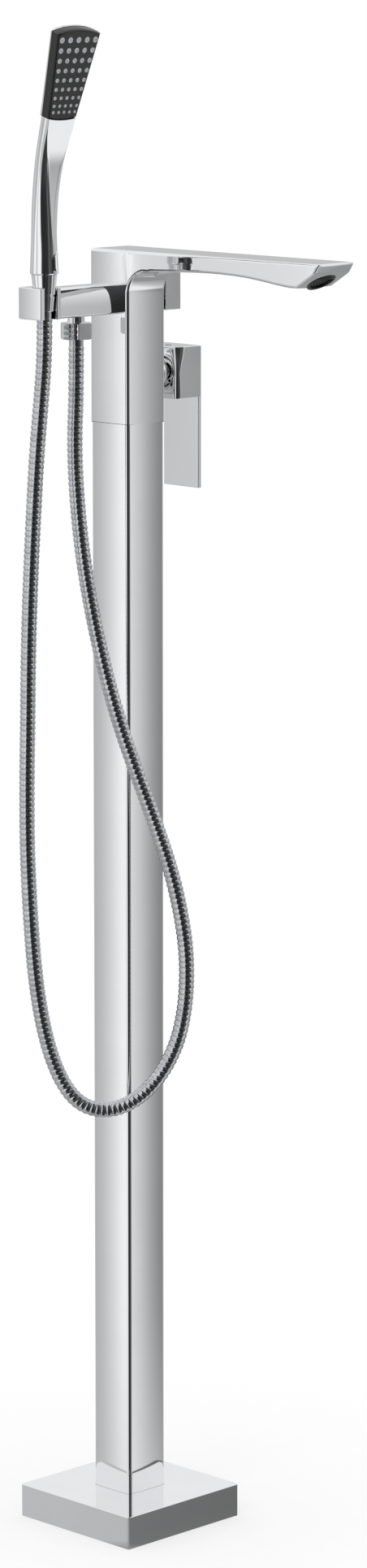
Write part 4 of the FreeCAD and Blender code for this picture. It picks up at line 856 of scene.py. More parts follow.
@dataclass
class MixerBody:
    """The upper body with its flat spout, the aerator and the seats that are bored into it."""

    half: float = 20.5
    low: float = 876.0
    high: float = 1008.7
    root: float = 993.0
    root_round: float = 18.0
    edge: float = 2.4
    rise: float = 0.35
    fall: float = 0.6
    overhang: float = 5.7
    side_drop: float = 0.5
    side_fade: float = 9.0
    aerator: tuple[float, float, float] = (204.3, 0.0, 994.05)
    lever_level: float = 911.7
    diverter_level: float = 981.0
    arm_level: float = 971.5
    cartridge_seat: float = 15.02
    diverter_seat: float = 12.02
    aerator_seat: float = 11.62
    nipple_seat: float = 7.05
    pipe_seat: float = 5.65
    pipes_apart: float = 7.5
    slot_mouth: float = -0.6
    slot_floor: float = -1.4

    # The spout's underside: distance from the column's axis and height.
    UNDERSIDE = (
        (50.0, 994.0), (70.0, 994.8), (89.0, 995.5), (104.0, 995.9), (119.0, 995.8),
        (132.0, 995.4), (144.0, 994.7), (153.0, 993.9), (161.0, 993.0), (170.0, 991.9),
        (178.0, 990.9), (184.5, 990.2), (190.4, 989.8), (197.3, 989.9), (206.0, 995.1),
        (214.9, 1000.45))
    # Cuts across the bar near its root, between which its sides run straight.
    SIDE_CUTS = (20.4, 23.5, 27.0, 31.0, 36.0, 43.0, 50.0)

    def build(self) -> None:
        """Makes the casting and the aerator's ring."""
        bench = self._casting()
        self._bore(bench)
        dress(bench, CHROME, "stand", "mixer_body", angle=24)
        self._aerator()

    def _casting(self) -> Bench:
        """The post, the bar pulled out of it station by station, and the rounded root.

        Returns:
            The bench with the solid casting.
        """
        half = self.half
        bench = Bench.block("mixer_body_casting", (-half, -half, self.low), (half, half, self.high))
        with bench.edit():
            bench.slice(2, [self.root])
            strips = even_places(half, 6)
            bench.slice(1, strips)
            reach, level = half, self.root
            for x, z in self.UNDERSIDE:
                bench.pick("FACE", lambda at, way: way.x > 0.7 and at.x > reach - NEAR
                           and at.z > self.root - 4)
                bench.extrude((x - reach, 0, 0))
                bench.shift(lambda at, way: at.x > x - NEAR and at.z < level + NEAR,
                            (0, 0, z - level))
                reach, level = x, z
            bench.shift(lambda at, way: at.x > reach - NEAR and at.z > self.high - NEAR,
                        (self.overhang, 0, 0))
            bench.round(lambda at, way: abs(way.y) > ALONG and abs(at.x - half) < NEAR
                       and abs(at.z - self.root) < NEAR, self.root_round, 14)
            bench.round(self._is_outer_edge, self.edge, 6)
            bench.slice(0, strips + list(self.SIDE_CUTS[:-1]))
            bench.swell(self._crown)
        return bench

    def _is_outer_edge(self, at: Vector, way: Vector) -> bool:
        """Picks the edges that are rounded, but for the seam at the bottom.

        Args:
            at: The edge's middle.
            way: The way that it runs.

        Returns:
            True for a long edge of the post or the bar, or one across their ends.
        """
        if at.z < self.low + NEAR:
            return False
        on_back, on_top = at.x < NEAR - self.half, at.z > self.high - NEAR
        if abs(at.y) > self.half - NEAR and abs(way.y) < 1 - ALONG:
            return on_back or on_top or self._on_underside(at)
        tip = self.UNDERSIDE[-1][0]
        top_end = on_top and (on_back or at.x > tip + 5)
        low_end = at.x > tip - 0.5 and at.z < self.high - 5
        return abs(way.y) > ALONG and (top_end or low_end)

    def _on_underside(self, at: Vector) -> bool:
        """Follows the line of the front upright edge, the root and the underside.

        Args:
            at: The middle of an edge on one of the sides.

        Returns:
            True if it is on that line.
        """
        in_front = at.x > self.half - NEAR
        # The root's round is a fan of short edges, known by how far they are from its centre.
        centre = Vector((self.half + self.root_round, 0, self.root - self.root_round + 0.5))
        if at.z < centre.z:
            return in_front
        if at.x < self.UNDERSIDE[0][0]:
            gap = math.hypot(at.x - centre.x, at.z - centre.z)
            return in_front and at.z < self.root + 2 and (
                gap > self.root_round - 1.5 or at.x > centre.x)
        return at.z < self.root + 3.5 or at.x > self.UNDERSIDE[-2][0] + 0.1

    def _side_line(self, x: float) -> float:
        """How far the long sides stand out.

        Args:
            x: The place along the spout.

        Returns:
            The step outwards, in millimetres.
        """
        step = crowned(self.half, self.rise, self.fall)
        if x < self.SIDE_CUTS[0]:
            return step(x)
        near = max(cut for cut in self.SIDE_CUTS if cut <= x)
        far = min((cut for cut in self.SIDE_CUTS if cut > x), default=x + 1)
        first, last = (
            step(self.half) - self.side_drop * (1 - math.exp((self.half - end) / self.side_fade))
            for end in (near, far))
        return first + (last - first) * (x - near) / (far - near)

    def _crown(self, at: Vector, way: Vector) -> Vector:
        """The casting's crown: round the post, and under the bar; its top stays flat.

        Args:
            at: A vertex's place.
            way: Its normal.

        Returns:
            Its step.
        """
        across = crowned(self.half, self.rise, self.fall)(at.y)
        side = way.y * self._side_line(at.x)
        if way.z > 0.35:
            return Vector((0, side, 0))
        return Vector((way.x * across, side, min(way.z, 0.0) * across))

    def _bore(self, bench: Bench) -> None:
        """Bores the seats: cartridge, diverter, aerator, arm and the two pipes.

        Args:
            bench: The bench with the casting.
        """
        bench.drill(self.cartridge_seat, 0, 26, (0, -4.02, self.lever_level), Turn.TO_LEVER)
        bench.drill(self.diverter_seat, 0, 25, (0, -3.02, self.diverter_level), Turn.TO_LEVER)
        bench.drill(self.aerator_seat, -7, 14, self.aerator, Turn.TO_BATH)
        bench.drill(self.nipple_seat, 0, 10, (0, -23.5, self.arm_level), Turn.TO_LEVER)
        for x in (-self.pipes_apart, self.pipes_apart):
            bench.drill(self.pipe_seat, 0, 20, (x, -6.5, self.low - 4.6))

    def _aerator(self) -> None:
        """The aerator's black ring with a rounded lip, and its face with rings of slots."""
        ring = Bench.turned("aerator_ring", [
            (9.3, 0.2), (9.7, 0.7), (10.6, 0.9), (11.2, 0.7), (11.5, 0.2), (11.5, -6.6),
            (9.3, -6.6), (9.3, 0.2)], self.aerator, Turn.TO_BATH, closed=True)
        dress(ring, BLACK_ABS, "stand", "aerator_housing")
        steps = [(9.28, -4.0), (9.28, self.slot_mouth)]
        for radius in (8.2, 6.2, 4.2, 2.2):
            steps += [(radius, self.slot_mouth), (radius - 0.1, self.slot_floor),
                      (radius - 0.8, self.slot_floor), (radius - 0.9, self.slot_mouth)]
        face = Bench.turned("aerator_face", steps, self.aerator, Turn.TO_BATH)
        dress(face, BLACK_ABS, "stand", "aerator_insert")


# Lever.


@dataclass
class Lever:
    """The dome on the body's side, the shield inside it and the block with its long plate."""

    level: float = 911.7
    dome_start: float = 20.5
    pivot_y: float = 14.0
    shield_radius: float = 17.8
    shield_wall: float = 0.9
    shield_reach: float = 51.0
    start: float = 33.5
    end: float = 60.6
    side: float = 40.0
    draft: float = 0.5
    plate: float = 3.1
    plate_draft: float = 1.0
    drop: float = 90.7
    edge: float = 0.5
    rim: float = 0.15
    plug_y: float = 44.0
    plug_seat: float = 2.6
    stem_half: float = 3.6
    stem_deep: float = 18.2

    # The block's inner upright edges: height over its middle and how round they are there.
    WAIST = (
        (20.0, 8.4), (17.0, 8.1), (13.0, 7.2), (9.0, 6.0), (5.0, 4.8), (1.5, 4.0), (-1.0, 3.8),
        (-4.0, 4.1), (-8.0, 4.3), (-13.0, 4.5), (-20.0, 4.7))

    def build(self) -> None:
        """Makes the dome, the shield and the handle."""
        dome = Bench.turned("lever_dome_cover", [
            (18.5, 0), (18.5, 1.2), (18.3, 2.6), (17.8, 4.0), (17.0, 5.6), (15.9, 7.1),
            (14.6, 8.4), (13.3, 9.2), (12.5, 9.45), (12.1, 9.3), (12.0, 9.0), (12.0, 8.4),
            (13.4, 7.4), (15.3, 5.2), (16.9, 1.6), (16.9, 0), (18.5, 0)],
            (0, self.dome_start, self.level), Turn.TO_LEVER, sides=96, closed=True)
        dress(dome, CHROME, "stand", "lever_dome", angle=40)
        self._shield()
        self._handle()

    def _shield(self) -> None:
        """The part of a ball that turns with the lever and closes the dome's mouth."""
        angles = [math.radians(self.shield_reach * i / 14) for i in range(15)]
        inner = self.shield_radius - self.shield_wall
        profile = [(max(radius * math.sin(a), 0.2), radius * math.cos(a))
                   for radius, way in ((self.shield_radius, 1), (inner, -1)) for a in angles[::way]]
        shield = Bench.turned(
            "lever_ball_shield", profile + profile[:1], (0, self.pivot_y, self.level),
            Turn.TO_LEVER_LOW, sides=72, closed=True)
        dress(shield, CHROME, "lever", angle=40)

    def _outline(self, height: float, round_in: float, inset: float) -> list[Vector]:
        """The block's outline at a height, with broad inner rounds and crisp outer ones.

        Args:
            height: The height.
            round_in: The radius of the inner rounds.
            inset: How far the outline is drawn in, for a rounded rim.

        Returns:
            The outline's points.
        """
        turns = [math.radians(90 * i / 12) for i in range(13)]
        points: list[Vector] = []
        for y, radius, inward, angles in (
                (self.start + inset, round_in, 1, turns),
                (self.end - inset, self.edge, -1, turns[::-1])):
            wide = self.side / 2 - inset - self.draft * (y - self.start) / (self.end - self.start)
            points += [Vector((wide - radius * (1 - math.sin(angle)),
                               y + inward * radius * (1 - math.cos(angle)), height))
                       for angle in angles]
        return points + [Vector((-point.x, point.y, point.z)) for point in points[::-1]]

    def _handle(self) -> None:
        """The waisted block, the plate under it and the hole for the screw's cover."""
        half = self.side / 2
        top, low = self.level + half, self.level - half
        top_round, low_round = self.WAIST[0][1], self.WAIST[-1][1]
        stations = [(top - 0.02, top_round, self.edge), (top - self.rim, top_round, self.rim)]
        stations += [(self.level + (rise if abs(rise) < half else rise * 0.975), round_in, 0.0)
                     for rise, round_in in self.WAIST]
        stations += [(low + self.rim, low_round, self.rim), (low, low_round, self.edge)]
        block = Bench.lofted("lever_handle_plate", [self._outline(*at) for at in stations[::-1]])
        wide = half - self.draft
        plate = Bench.block("plate", (-wide, self.end - self.plate, self.level - self.drop),
                            (wide, self.end, low + 4))
        with plate.edit():
            plate.shift(lambda at, way: at.y < self.end - 1 and at.x < 0, (0, self.plate_draft, 0))
            plate.round(lambda at, way: at.z < low + 3, self.edge, 3)
        block.combine("UNION", plate)
        block.drill(self.plug_seat, 0, 16.4, (0, self.plug_y, self.level + 4))
        stem = self.stem_half
        block.combine("DIFFERENCE", Bench.block(
            "seat", (-stem, self.start - 1, self.level - stem),
            (stem, self.start + self.stem_deep, self.level + stem)))
        dress(block, CHROME, "lever", "lever_handle", angle=28)


# Diverter.


@dataclass
class Diverter:
    """The square knob that sends the water to the spout or to the hand shower."""

    level: float = 981.0
    start: float = 21.0
    end: float = 38.3
    side: float = 40.0
    edge: float = 0.8
    draft: float = 0.5
    cuts: int = 5
    fall: float = 0.15
    spindle_seat: float = 5.02
    screw_seat: float = 2.02

    def build(self) -> None:
        """Makes the knob: a broken-edged block with crowned sides and a bore behind."""
        half, level = self.side / 2, self.level
        step = crowned(half, 0.0, self.fall)

        def crown(at: Vector, way: Vector) -> Vector:
            """The crown's step on a side, and none on an edge.

            Args:
                at: A vertex's place.
                way: Its normal.

            Returns:
                Its step.
            """
            if max(abs(way.x), abs(way.y), abs(way.z)) <= 0.99:
                return Vector()
            across, up = step(at.x), step(at.z - level)
            return Vector((way.x * up, way.y * max(across, up), way.z * across))

        bench = soft_block(
            "diverter_knob_block", (-half, self.start, level - half),
            (half, self.end, level + half), level, even_places(half, self.cuts), self.edge)
        with bench.edit():
            bench.swell(crown)
            bench.swell(lambda at, way: Vector((
                -at.x / half * self.draft * (at.y - self.start) / (self.end - self.start), 0, 0)))
        bench.drill(self.spindle_seat, 0, 13, (0, self.start - 1, level), Turn.TO_LEVER)
        bench.drill(self.screw_seat, 0, 16, (0, self.start + 6, level - half - 1))
        dress(bench, CHROME, "diverter", "diverter_knob", angle=28)


# Arm.


@dataclass
class ShowerArm:
    """The side arm with its forked holder, and the outlet with its hexagon nut."""

    half: float = 11.0
    low: float = 960.0
    high: float = 983.0
    start: float = -20.4
    end: float = -84.0
    edge: float = 2.4
    barrel: float = 2.6
    holder_half: float = 12.3
    holder_end: float = -103.2
    holder_high: float = 984.0
    holder_edge: float = 0.7
    holder_fall: float = 0.25
    holder_cuts: int = 5
    hand: tuple[float, float] = (5.0, -92.4)
    slot: float = 13.6
    nipple_seat: float = 7.05
    outlet_y: float = -54.5
    outlet_seat: float = 5.05
    nut_flats: float = 22.3
    nut_low: float = 942.7
    nut_tall: float = 12.3
    nut_edge: float = 0.45

    def build(self) -> bpy.types.Object:
        """Makes the arm, the outlet's neck and the nut.

        Returns:
            The hexagon nut, which the hose starts in.
        """
        self._arm()
        return self._outlet()

    def _arm(self) -> None:
        """A bar with rounded long edges, joined to a block with a slot and a conical seat."""
        middle, tall = (self.low + self.high) / 2, (self.high - self.low) / 2
        bar = Bench.block("arm_bar", (-self.half, self.end - 1.5, self.low),
                          (self.half, self.start, self.high))
        with bar.edit():
            bar.slice(2, even_places(tall, 6, middle))
            bar.round(lambda at, way: abs(way.y) > ALONG and abs(at.x) > self.half - NEAR
                      and abs(at.z - middle) > tall - NEAR, self.edge, 6)
            bar.swell(lambda at, way: Vector((
                -math.copysign(self.barrel * ((at.z - self.low) / (2 * tall)) ** 2, at.x), 0, 0)))
        half = self.holder_half
        step = crowned(half, 0.0, self.holder_fall)
        holder = soft_block(
            "arm_holder", (-half, self.holder_end, self.low),
            (half, self.end + 2, self.holder_high), middle,
            even_places(half, self.holder_cuts), self.holder_edge)
        with holder.edit():
            holder.swell(lambda at, way: Vector((0, way.y * step(at.x), 0))
                         if abs(way.y) > ALONG and at.y < self.end else Vector())
        bar.combine("UNION", holder)
        x, y = self.hand
        bar.combine(
            "DIFFERENCE",
            Bench.turned("seat", [(6.7, -0.2), (9.62, 24.2)], (x, y, self.low)),
            Bench.block("seat", (x, y - self.slot / 2, self.low - 1),
                        (x + 20, y + self.slot / 2, self.holder_high + 1)))
        bar.drill(self.nipple_seat, 0, 9, (0, -28.6, middle), Turn.TO_LEVER)
        bar.drill(self.outlet_seat, 0, 9, (0, self.outlet_y, self.low - 1))
        dress(bar, CHROME, "stand", "shower_arm", angle=28)

    def _outlet(self) -> bpy.types.Object:
        """The neck under the arm and the hexagon nut with its chamfered corners.

        Returns:
            The nut.
        """
        neck = Bench.turned("outlet_neck", [
            (3.25, 0), (5.0, 0), (5.0, 7.6), (6.4, 7.8), (6.6, 8.4), (6.6, 12.6), (6.4, 13.0),
            (5.0, 13.0), (5.0, 20.0), (3.25, 20.0), (3.25, 0)],
            (0, self.outlet_y, 947), closed=True)
        dress(neck, CHROME, "stand", "hose_outlet", angle=40)
        corner, tall = self.nut_flats / math.sqrt(3), self.nut_tall
        foot = (0, self.outlet_y, self.nut_low)
        nut = Bench.turned("outlet_nut", [(corner, 0.0), (corner, tall)], foot,
                           Turn.ASKEW, sides=6)
        with nut.edit():
            nut.round(upright, self.nut_edge, 3)
        nut.combine("INTERSECT", Bench.turned("seat", [
            (corner - 1.3, -0.1), (corner + 0.1, 0.75), (corner + 0.1, tall - 0.75),
            (corner - 1.3, tall + 0.1)], foot, sides=96))
        nut.drill(5.1, 0, 9.7, (0, self.outlet_y, 945.4))
        nut.drill(3.8, 0, 6, (0, self.outlet_y, 941))
        return dress(nut, CHROME, "stand", "hose_nut_outlet", angle=28)


# Hose.


@dataclass
class ShowerHose:
    """The ribbed metal hose in its loop, on one smooth line."""

    diameter: float = 12.0
    groove: float = 0.48
    end_share: float = 0.93
    pitch: float = 4.26
    plain_end: float = 5.0
    sides: int = 28

    # The route's points, the same as in the part's source.
    ROUTE = (
        (0, -54.5, 942.7), (0, -54.5, 905), (0.5, -57.5, 862), (4.5, -58.5, 818),
        (10, -57.5, 774), (16.5, -54, 732.5), (23, -48, 691), (31, -40.5, 650),
        (40.5, -31, 611), (50, -21.5, 574), (58.5, -13, 538.5), (64.5, -7.5, 504.5),
        (68, -4.5, 474), (69, -4.5, 447), (68, -6.5, 422), (64.5, -10.5, 398.5),
        (57.5, -18, 377), (48.5, -28, 360), (37, -40, 348.5), (25, -53, 344.5),
        (13, -65.5, 350), (4.5, -74.5, 364.5), (-1.5, -82, 386.5), (-5.5, -88.5, 416),
        (-8, -93.5, 453.5), (-8.5, -97.5, 500), (-8.5, -100.5, 551.5), (-7.5, -101.5, 603.5),
        (-6, -101.5, 655.5), (-5, -101.5, 707), (-3.5, -100.5, 758), (-1.5, -99, 808),
        (0.5, -97, 857.5), (3, -94.5, 898), (5, -92.4, 934), (5, -92.4, 966))

    # One rib: share of the pitch and share of the groove's depth at each ring.
    RIB = ((0.0, 1.0), (0.2, 1.0), (0.31, 0.3), (0.42, 0.0), (0.78, 0.0), (0.89, 0.3))

    def line(self) -> list[Vector]:
        """Reads the hose's line from a NURBS spline through its route's points.

        Returns:
            Closely spaced points on the line, in metres.
        """
        curve = bpy.data.curves.new("hose_line", "CURVE")
        curve.dimensions = "3D"
        curve.resolution_u = 24
        spline = curve.splines.new("NURBS")
        spline.points.add(len(self.ROUTE) - 1)
        for point, place in zip(spline.points, self.ROUTE):
            point.co = (*(value * MM for value in place), 1)
        spline.order_u = 3
        spline.use_endpoint_u = True
        guide = bpy.data.objects.new("hose_line", curve)
        bpy.context.scene.collection.objects.link(guide)
        bpy.context.view_layer.update()
        read = bpy.data.meshes.new_from_object(guide)
        points = [vertex.co.copy() for vertex in read.vertices]
        bpy.data.objects.remove(guide)
        bpy.data.curves.remove(curve)
        bpy.data.meshes.remove(read)
        return points

    def stations(self, total: float) -> list[tuple[float, float]]:
        """Places the rings of all ribs along the line.

        Args:
            total: The line's length, in metres.

        Returns:
            Pairs of distance and radius, in metres.
        """
        outer, groove = self.diameter / 2 * MM, self.groove * MM
        start, end = self.plain_end * MM, total - self.plain_end * MM
        ribs = round((end - start) / (self.pitch * MM))
        pitch = (end - start) / ribs
        rings = [(start + (rib + share) * pitch, outer - groove * depth)
                 for rib in range(ribs) for share, depth in self.RIB]
        lip = outer * self.end_share
        return [(0.0, lip), *rings, (end, outer - groove), (total, lip)]

    def sweep(self, points: Sequence[Vector]) -> tuple[list[Vector], list[Vector]]:
        """Puts a circle of points at each ring's place on the line.

        Args:
            points: The line.

        Returns:
            The circles' centres and all their points.
        """
        spans = [(b - a).length for a, b in zip(points, points[1:])]
        centres: list[Vector] = []
        circles: list[Vector] = []
        walked, index = 0.0, 0
        across = Vector((1, 0, 0))
        for distance, radius in self.stations(sum(spans)):
            while index < len(points) - 2 and walked + spans[index] < distance:
                walked += spans[index]
                index += 1
            run = points[index + 1] - points[index]
            share = (distance - walked) / spans[index]
            centres.append(points[index].lerp(points[index + 1], share))
            before = (points[index] - points[max(index - 1, 0)]) or run
            after = points[min(index + 2, len(points) - 1)] - points[index + 1] or run
            way = before.normalized().lerp(run.normalized(), 0.5 + 0.5 * min(share * 2, 1)).lerp(
                after.normalized(), 0.5 * max(share * 2 - 1, 0)).normalized()
            across = (across - way * across.dot(way)).normalized()
            other = way.cross(across)
            for side in range(self.sides):
                angle = 2 * math.pi * side / self.sides
                circles.append(centres[-1] + (
                    across * math.cos(angle) + other * math.sin(angle)) * radius)
        LOG.info("hose line %.1f mm", sum(spans) / MM)
        return centres, circles

    def build(self, nuts: Sequence[bpy.types.Object]) -> None:
        """Args:
            nuts: The nuts at its ends. Not used.
        """
        centres, circles = self.sweep(self.line())
        count = self.sides
        faces = [(ring * count + side, ring * count + (side + 1) % count,
                  (ring + 1) * count + (side + 1) % count, (ring + 1) * count + side)
                 for ring in range(len(centres) - 1) for side in range(count)]
        faces += [tuple(range(count))[::-1], tuple(range(len(circles) - count, len(circles)))]
        mesh = bpy.data.meshes.new("ribbed_hose")
        mesh.from_pydata(circles, [], faces)
        hose = bpy.data.objects.new("ribbed_hose", mesh)
        bpy.context.scene.collection.objects.link(hose)
        bench = Bench(hose)
        with bench.edit():
            bench.close(fill=False)
        dress(bench, HOSE_CHROME, "stand", "shower_hose", angle=75)
        tuple(value * MM for value in self.ROUTE[0])


# Hand shower.


@dataclass
class HandShower:
    """The stick hand shower: conical nut, handle with its front facet, black head, spray tips."""

    foot: tuple[float, float, float] = (5.0, -92.4, 994.0)
    nut_low: float = 966.0
    lean: float = 17.0
    face_rise: float = 117.0
    face_shift: float = 14.9
    face_tall: float = 71.0
    half_low: float = 14.7
    half_top: float = 22.25
    low_arc: float = 1.5
    top_arc: float = 3.5
    front: float = 5.4
    back: float = -2.0
    back_end: float = 67.0
    back_full: float = 0.62
    back_turn: float = 30.0
    tip_rows: int = 9
    tip_columns: int = 5

    # Sections of the handle: height above the nut, forward shift, lean, half width, back,
    # side's middle, front, half the facet's width, how far the side turns to the ridge, and
    # how full its back corners are.
    SECTIONS = (
        (0.2, 0.0, 0, 10.4, -10.4, 0.0, 10.4, 0.0, 90, 1.0),
        (0.9, 0.0, 0, 10.8, -10.8, 0.0, 10.8, 0.0, 90, 1.0),
        (8.0, 0.0, 0, 10.55, -10.55, 0.0, 10.5, 0.0, 90, 1.0),
        (16.0, 0.0, 0, 10.2, -10.2, 0.0, 10.1, 0.1, 90, 1.0),
        (24.0, 0.0, 0, 9.85, -9.85, 0.0, 9.7, 0.2, 86, 1.0),
        (31.0, 0.1, 2, 9.8, -9.8, 0.2, 9.3, 0.8, 80, 1.0),
        (38.0, 0.4, 3, 9.85, -9.85, 0.4, 9.0, 1.4, 75, 0.98),
        (46.0, 0.8, 4, 9.95, -9.85, 0.7, 8.6, 2.1, 71, 0.95),
        (55.0, 1.5, 6, 10.2, -9.6, 1.0, 8.0, 2.9, 67, 0.92),
        (64.0, 2.5, 9, 10.6, -9.2, 1.2, 7.5, 3.9, 63, 0.88),
        (74.0, 3.9, 11, 11.2, -8.6, 1.4, 7.0, 5.2, 60, 0.84),
        (84.0, 5.7, 13, 12.0, -8.0, 1.6, 6.5, 7.0, 57, 0.8),
        (94.0, 8.0, 15, 12.8, -7.4, 1.8, 6.1, 9.6, 54, 0.76),
        (104.0, 10.9, 16.5, 13.6, -6.9, 1.9, 5.8, 11.9, 51, 0.72),
        (111.5, 13.2, 17, 14.2, -6.6, 2.0, 5.6, 13.0, 49, 0.68),
        (117.0, 14.9, 17, 14.7, -6.5, 2.0, 5.4, 13.4, 48, 0.66))

    def build(self) -> bpy.types.Object:
        """Makes the nut, the shell, the black front and the tips.

        Returns:
            The conical nut, which the hose ends in.
        """
        nut = self._nut()
        self._shell()
        self._face()
        self._tips()
        return nut

    def _nut(self) -> bpy.types.Object:
        """The conical nut with its groove and broken edges.

        Returns:
            The nut.
        """
        bench = Bench.turned("hand_nut_cone", [
            (3.8, 0.2), (6.3, 0.0), (6.75, 0.15), (6.95, 0.5), (8.07, 11.1), (8.05, 11.45),
            (7.5, 11.6), (7.5, 12.7), (8.2, 12.85), (8.32, 13.2), (9.72, 27.2), (9.7, 27.6),
            (9.3, 27.98), (5.3, 28.0), (5.3, 8.4), (3.8, 8.4), (3.8, 0.2)],
            (*self.foot[:2], self.nut_low), closed=True)
        return dress(bench, CHROME, "hand_nut", "hose_nut_hand", angle=30)

    @staticmethod
    def _section(half: float, back: float, middle: float, front: float, facet: float,
                 turn: float, full: float) -> list[tuple[float, float]]:
        """One section of the handle, from the facet's middle round the back and home again.

        Args:
            half: Half the section's width.
            back: How far its back is behind the axis, as a negative number.
            middle: Where it is widest, before the axis.
            front: Where the facet is, before the axis.
            facet: Half the facet's width.
            turn: The angle that the side turns through before it meets the facet.
            full: How full the back's corners are: 1 for round, less for squarer.

        Returns:
            Pairs of forward and sideways places, 56 of them.
        """
        side: list[tuple[float, float]] = [(front, facet * i / 4) for i in range(4)]
        reach = math.radians(turn)
        for i in range(8, 0, -1):
            angle = reach * i / 8
            side.append((
                middle + (front - middle) * math.sin(angle) / math.sin(reach),
                half - (half - facet) * (1 - math.cos(angle)) / (1 - math.cos(reach))))
        for i in range(17):
            angle = math.pi / 2 * i / 16
            side.append((middle + (back - middle) * math.sin(angle) ** full,
                         half * max(math.cos(angle), 0.0) ** full))
        return side + [(x, -y) for x, y in side[-2:0:-1]]

    @staticmethod
    def _ways(lean: float) -> tuple[Vector, Vector]:
        """The directions out of and up a section that leans forward by some degrees."""
        sine, cosine = math.sin(math.radians(lean)), math.cos(math.radians(lean))
        return Vector((cosine, 0, -sine)), Vector((sine, 0, cosine))

    def _placed(self, rise: float, shift: float, lean: float, along: float, lift: float,
                outline: Sequence[tuple[float, float]]) -> list[Vector]:
        """Puts a section's outline at its place.

        Args:
            rise: How high its frame's origin is over the handle's foot.
            shift: How far the origin is before the foot.
            lean: How far the frame leans forward, in degrees.
            along: How far the section is up the frame.
            lift: How much higher its sides are than its middle.
            outline: Pairs of forward and sideways places.

        Returns:
            The outline's points.
        """
        out, up = self._ways(lean)
        base = Vector(self.foot) + Vector((shift, 0, rise)) + up * along
        widest = max(y for _, y in outline)
        return [base + out * x + Vector((0, y, 0)) + up * lift * (y / widest) ** 2
                for x, y in outline]

    def _on_face(self, forward: float, across: float, along: float) -> Vector:
        """Finds a point in the frame of the head's face, whose origin is the face's foot.

        Args:
            forward: How far it is before the face's middle plane.
            across: How far it is to the side.
            along: How far it is up the face.

        Returns:
            The point in the row frame.
        """
        out, up = self._ways(self.lean)
        return Vector(self.foot) + Vector((self.face_shift, across, self.face_rise)) + (
            out * forward + up * along)

    def _head_width(self, along: float) -> float:
        """Half the head's width at a distance up the face."""
        share = (along - self.low_arc) / (self.face_tall - self.top_arc - self.low_arc)
        return self.half_low + (self.half_top - self.half_low) * min(max(share, 0.0), 1.0)

    def _shell(self) -> None:
        """The chromed handle, a step behind the black front, and the head's rounded back."""
        lifts = [0.0] * (len(self.SECTIONS) - 1) + [self.low_arc]
        loops = [self._placed(rise, shift, lean, 0.0, lift, self._section(*shape))
                 for lift, (rise, shift, lean, *shape) in zip(lifts, self.SECTIONS)]
        end, top = self.back_end, self.half_top
        head = [(along, self.low_arc * (1 - along / end), self._head_width(along),
                 -6.4 + 1.2 * along / end) for along in (0.0, 8.0, 20.0, 34.0, 48.0, 60.0, end)]
        head += [(end + height + self.top_arc, -self.top_arc * (1 - inset / top) ** 2, top - inset,
                  -5.2 + inset * 2) for inset, height in ((0.0, 0.4), (0.35, 0.8))]
        for along, lift, half, deep in head:
            outline = self._section(half, deep, self.back, self.back + 0.05, half - 0.02,
                                    self.back_turn, self.back_full)
            loops.append(self._placed(
                self.face_rise, self.face_shift, self.lean, along, lift, outline))
        bench = Bench.lofted("hand_shower_chrome", loops)
        dress(bench, CHROME, "hand_shower", "hand_shower_shell", angle=24)

    def _face(self) -> None:
        """The black front: its outline as a plate, drawn forward, its front edge rounded."""
        steps = [i / 8 for i in range(-8, 9)]
        heights = [self.low_arc + (self.face_tall - self.top_arc - self.low_arc) * i / 9
                   for i in range(1, 9)]
        outline = [(self.half_low * step, self.low_arc * step ** 2) for step in steps]
        outline += [(self._head_width(height), height) for height in heights]
        outline += [(self.half_top * step, self.face_tall - self.top_arc * step ** 2)
                    for step in steps[::-1]]
        outline += [(-self._head_width(height), height) for height in heights[::-1]]
        loops = [[self._on_face(x, y * (1 - inset / 22), 35 + (z - 35) * (1 - inset / 35))
                  for y, z in outline]
                 for x, inset in ((self.back, 0.0), (1.0, 0.1), (3.6, 0.35), (4.5, 0.65),
                                  (5.1, 1.15), (5.35, 1.7), (self.front, 2.3))]
        bench = Bench.lofted("hand_spray_front", loops)
        dress(bench, BLACK_ABS, "hand_shower", "hand_face_plate", angle=34)

    def _tips(self) -> None:
        """Rows of soft tips, larger and further apart towards the top, each a copy of one."""
        first = Bench.turned("tip", [
            (1.0, -1.5), (1.0, 0.25), (0.92, 0.5), (0.75, 0.62), (0.5, 0.64), (0.42, 0.5),
            (0.4, 0.1)], (0, 0, 0), sides=16)
        tilt = Matrix.Rotation(math.radians(90 + self.lean), 4, "Y")
        tips = []
        for row in range(self.tip_rows):
            share = (row / (self.tip_rows - 1)) ** 1.17
            radius = 1.2 + 1.1 * share
            for column in range(self.tip_columns):
                across = (column / (self.tip_columns - 1) - 0.5) * (22 + 12 * share)
                spot = self._on_face(self.front, across, 6.5 + 56 * share)
                piece = first.piece.copy()
                piece.data = first.piece.data.copy()
                bpy.context.scene.collection.objects.link(piece)
                piece.data.transform(Matrix.Translation(spot * MM) @ tilt @ Matrix.Diagonal(
                    (radius, radius, 1, 1)))
                tips.append(Bench(piece))
        bpy.data.objects.remove(first.piece)
        spray = tips[0]
        spray.join(*tips[1:])
        spray.piece.name = "spray_tips"
        dress(spray, SILICONE, "hand_shower", "hand_nozzle_mat", angle=40)


# The rest.


def dress_frame(frame: dict[str, Any]) -> None:
    """Gives every CAD node that stays in view or inside the finish of its slot.
    """
    slots = {part["node"]: part["material_slot"] for part in frame["record"]["subparts"]}
    for name, node in frame["nodes"].items():
        finish = FINISHES[slots[name]]
        node.data.materials.clear()
        node.data.materials.append(finish.material())


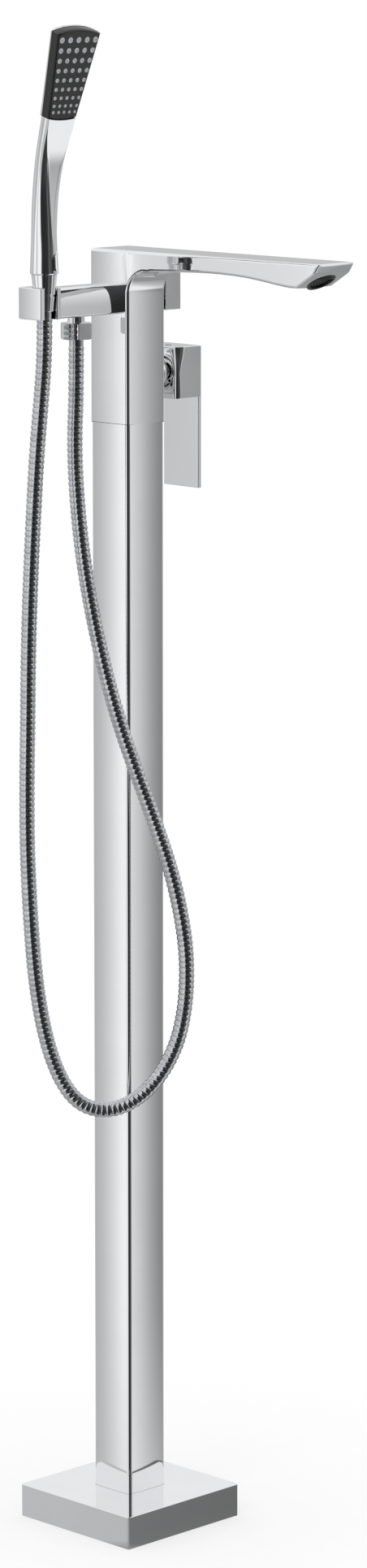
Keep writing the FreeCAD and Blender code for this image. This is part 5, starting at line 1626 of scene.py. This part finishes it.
def main() -> None:
    """Builds the classes in order."""
    logging.basicConfig(level=logging.INFO, format="%(name)s %(message)s")
    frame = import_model()
    Studio().build()
    dress_frame(frame)
    outlet_nut = ShowerArm().build()
    hand_nut = HandShower().build()
    ShowerHose().build([outlet_nut, hand_nut])
    FootAndColumn().build()
    MixerBody().build()
    Lever().build()
    Diverter().build()
    bpy.context.view_layer.update()


if __name__ == "__main__":
    main()
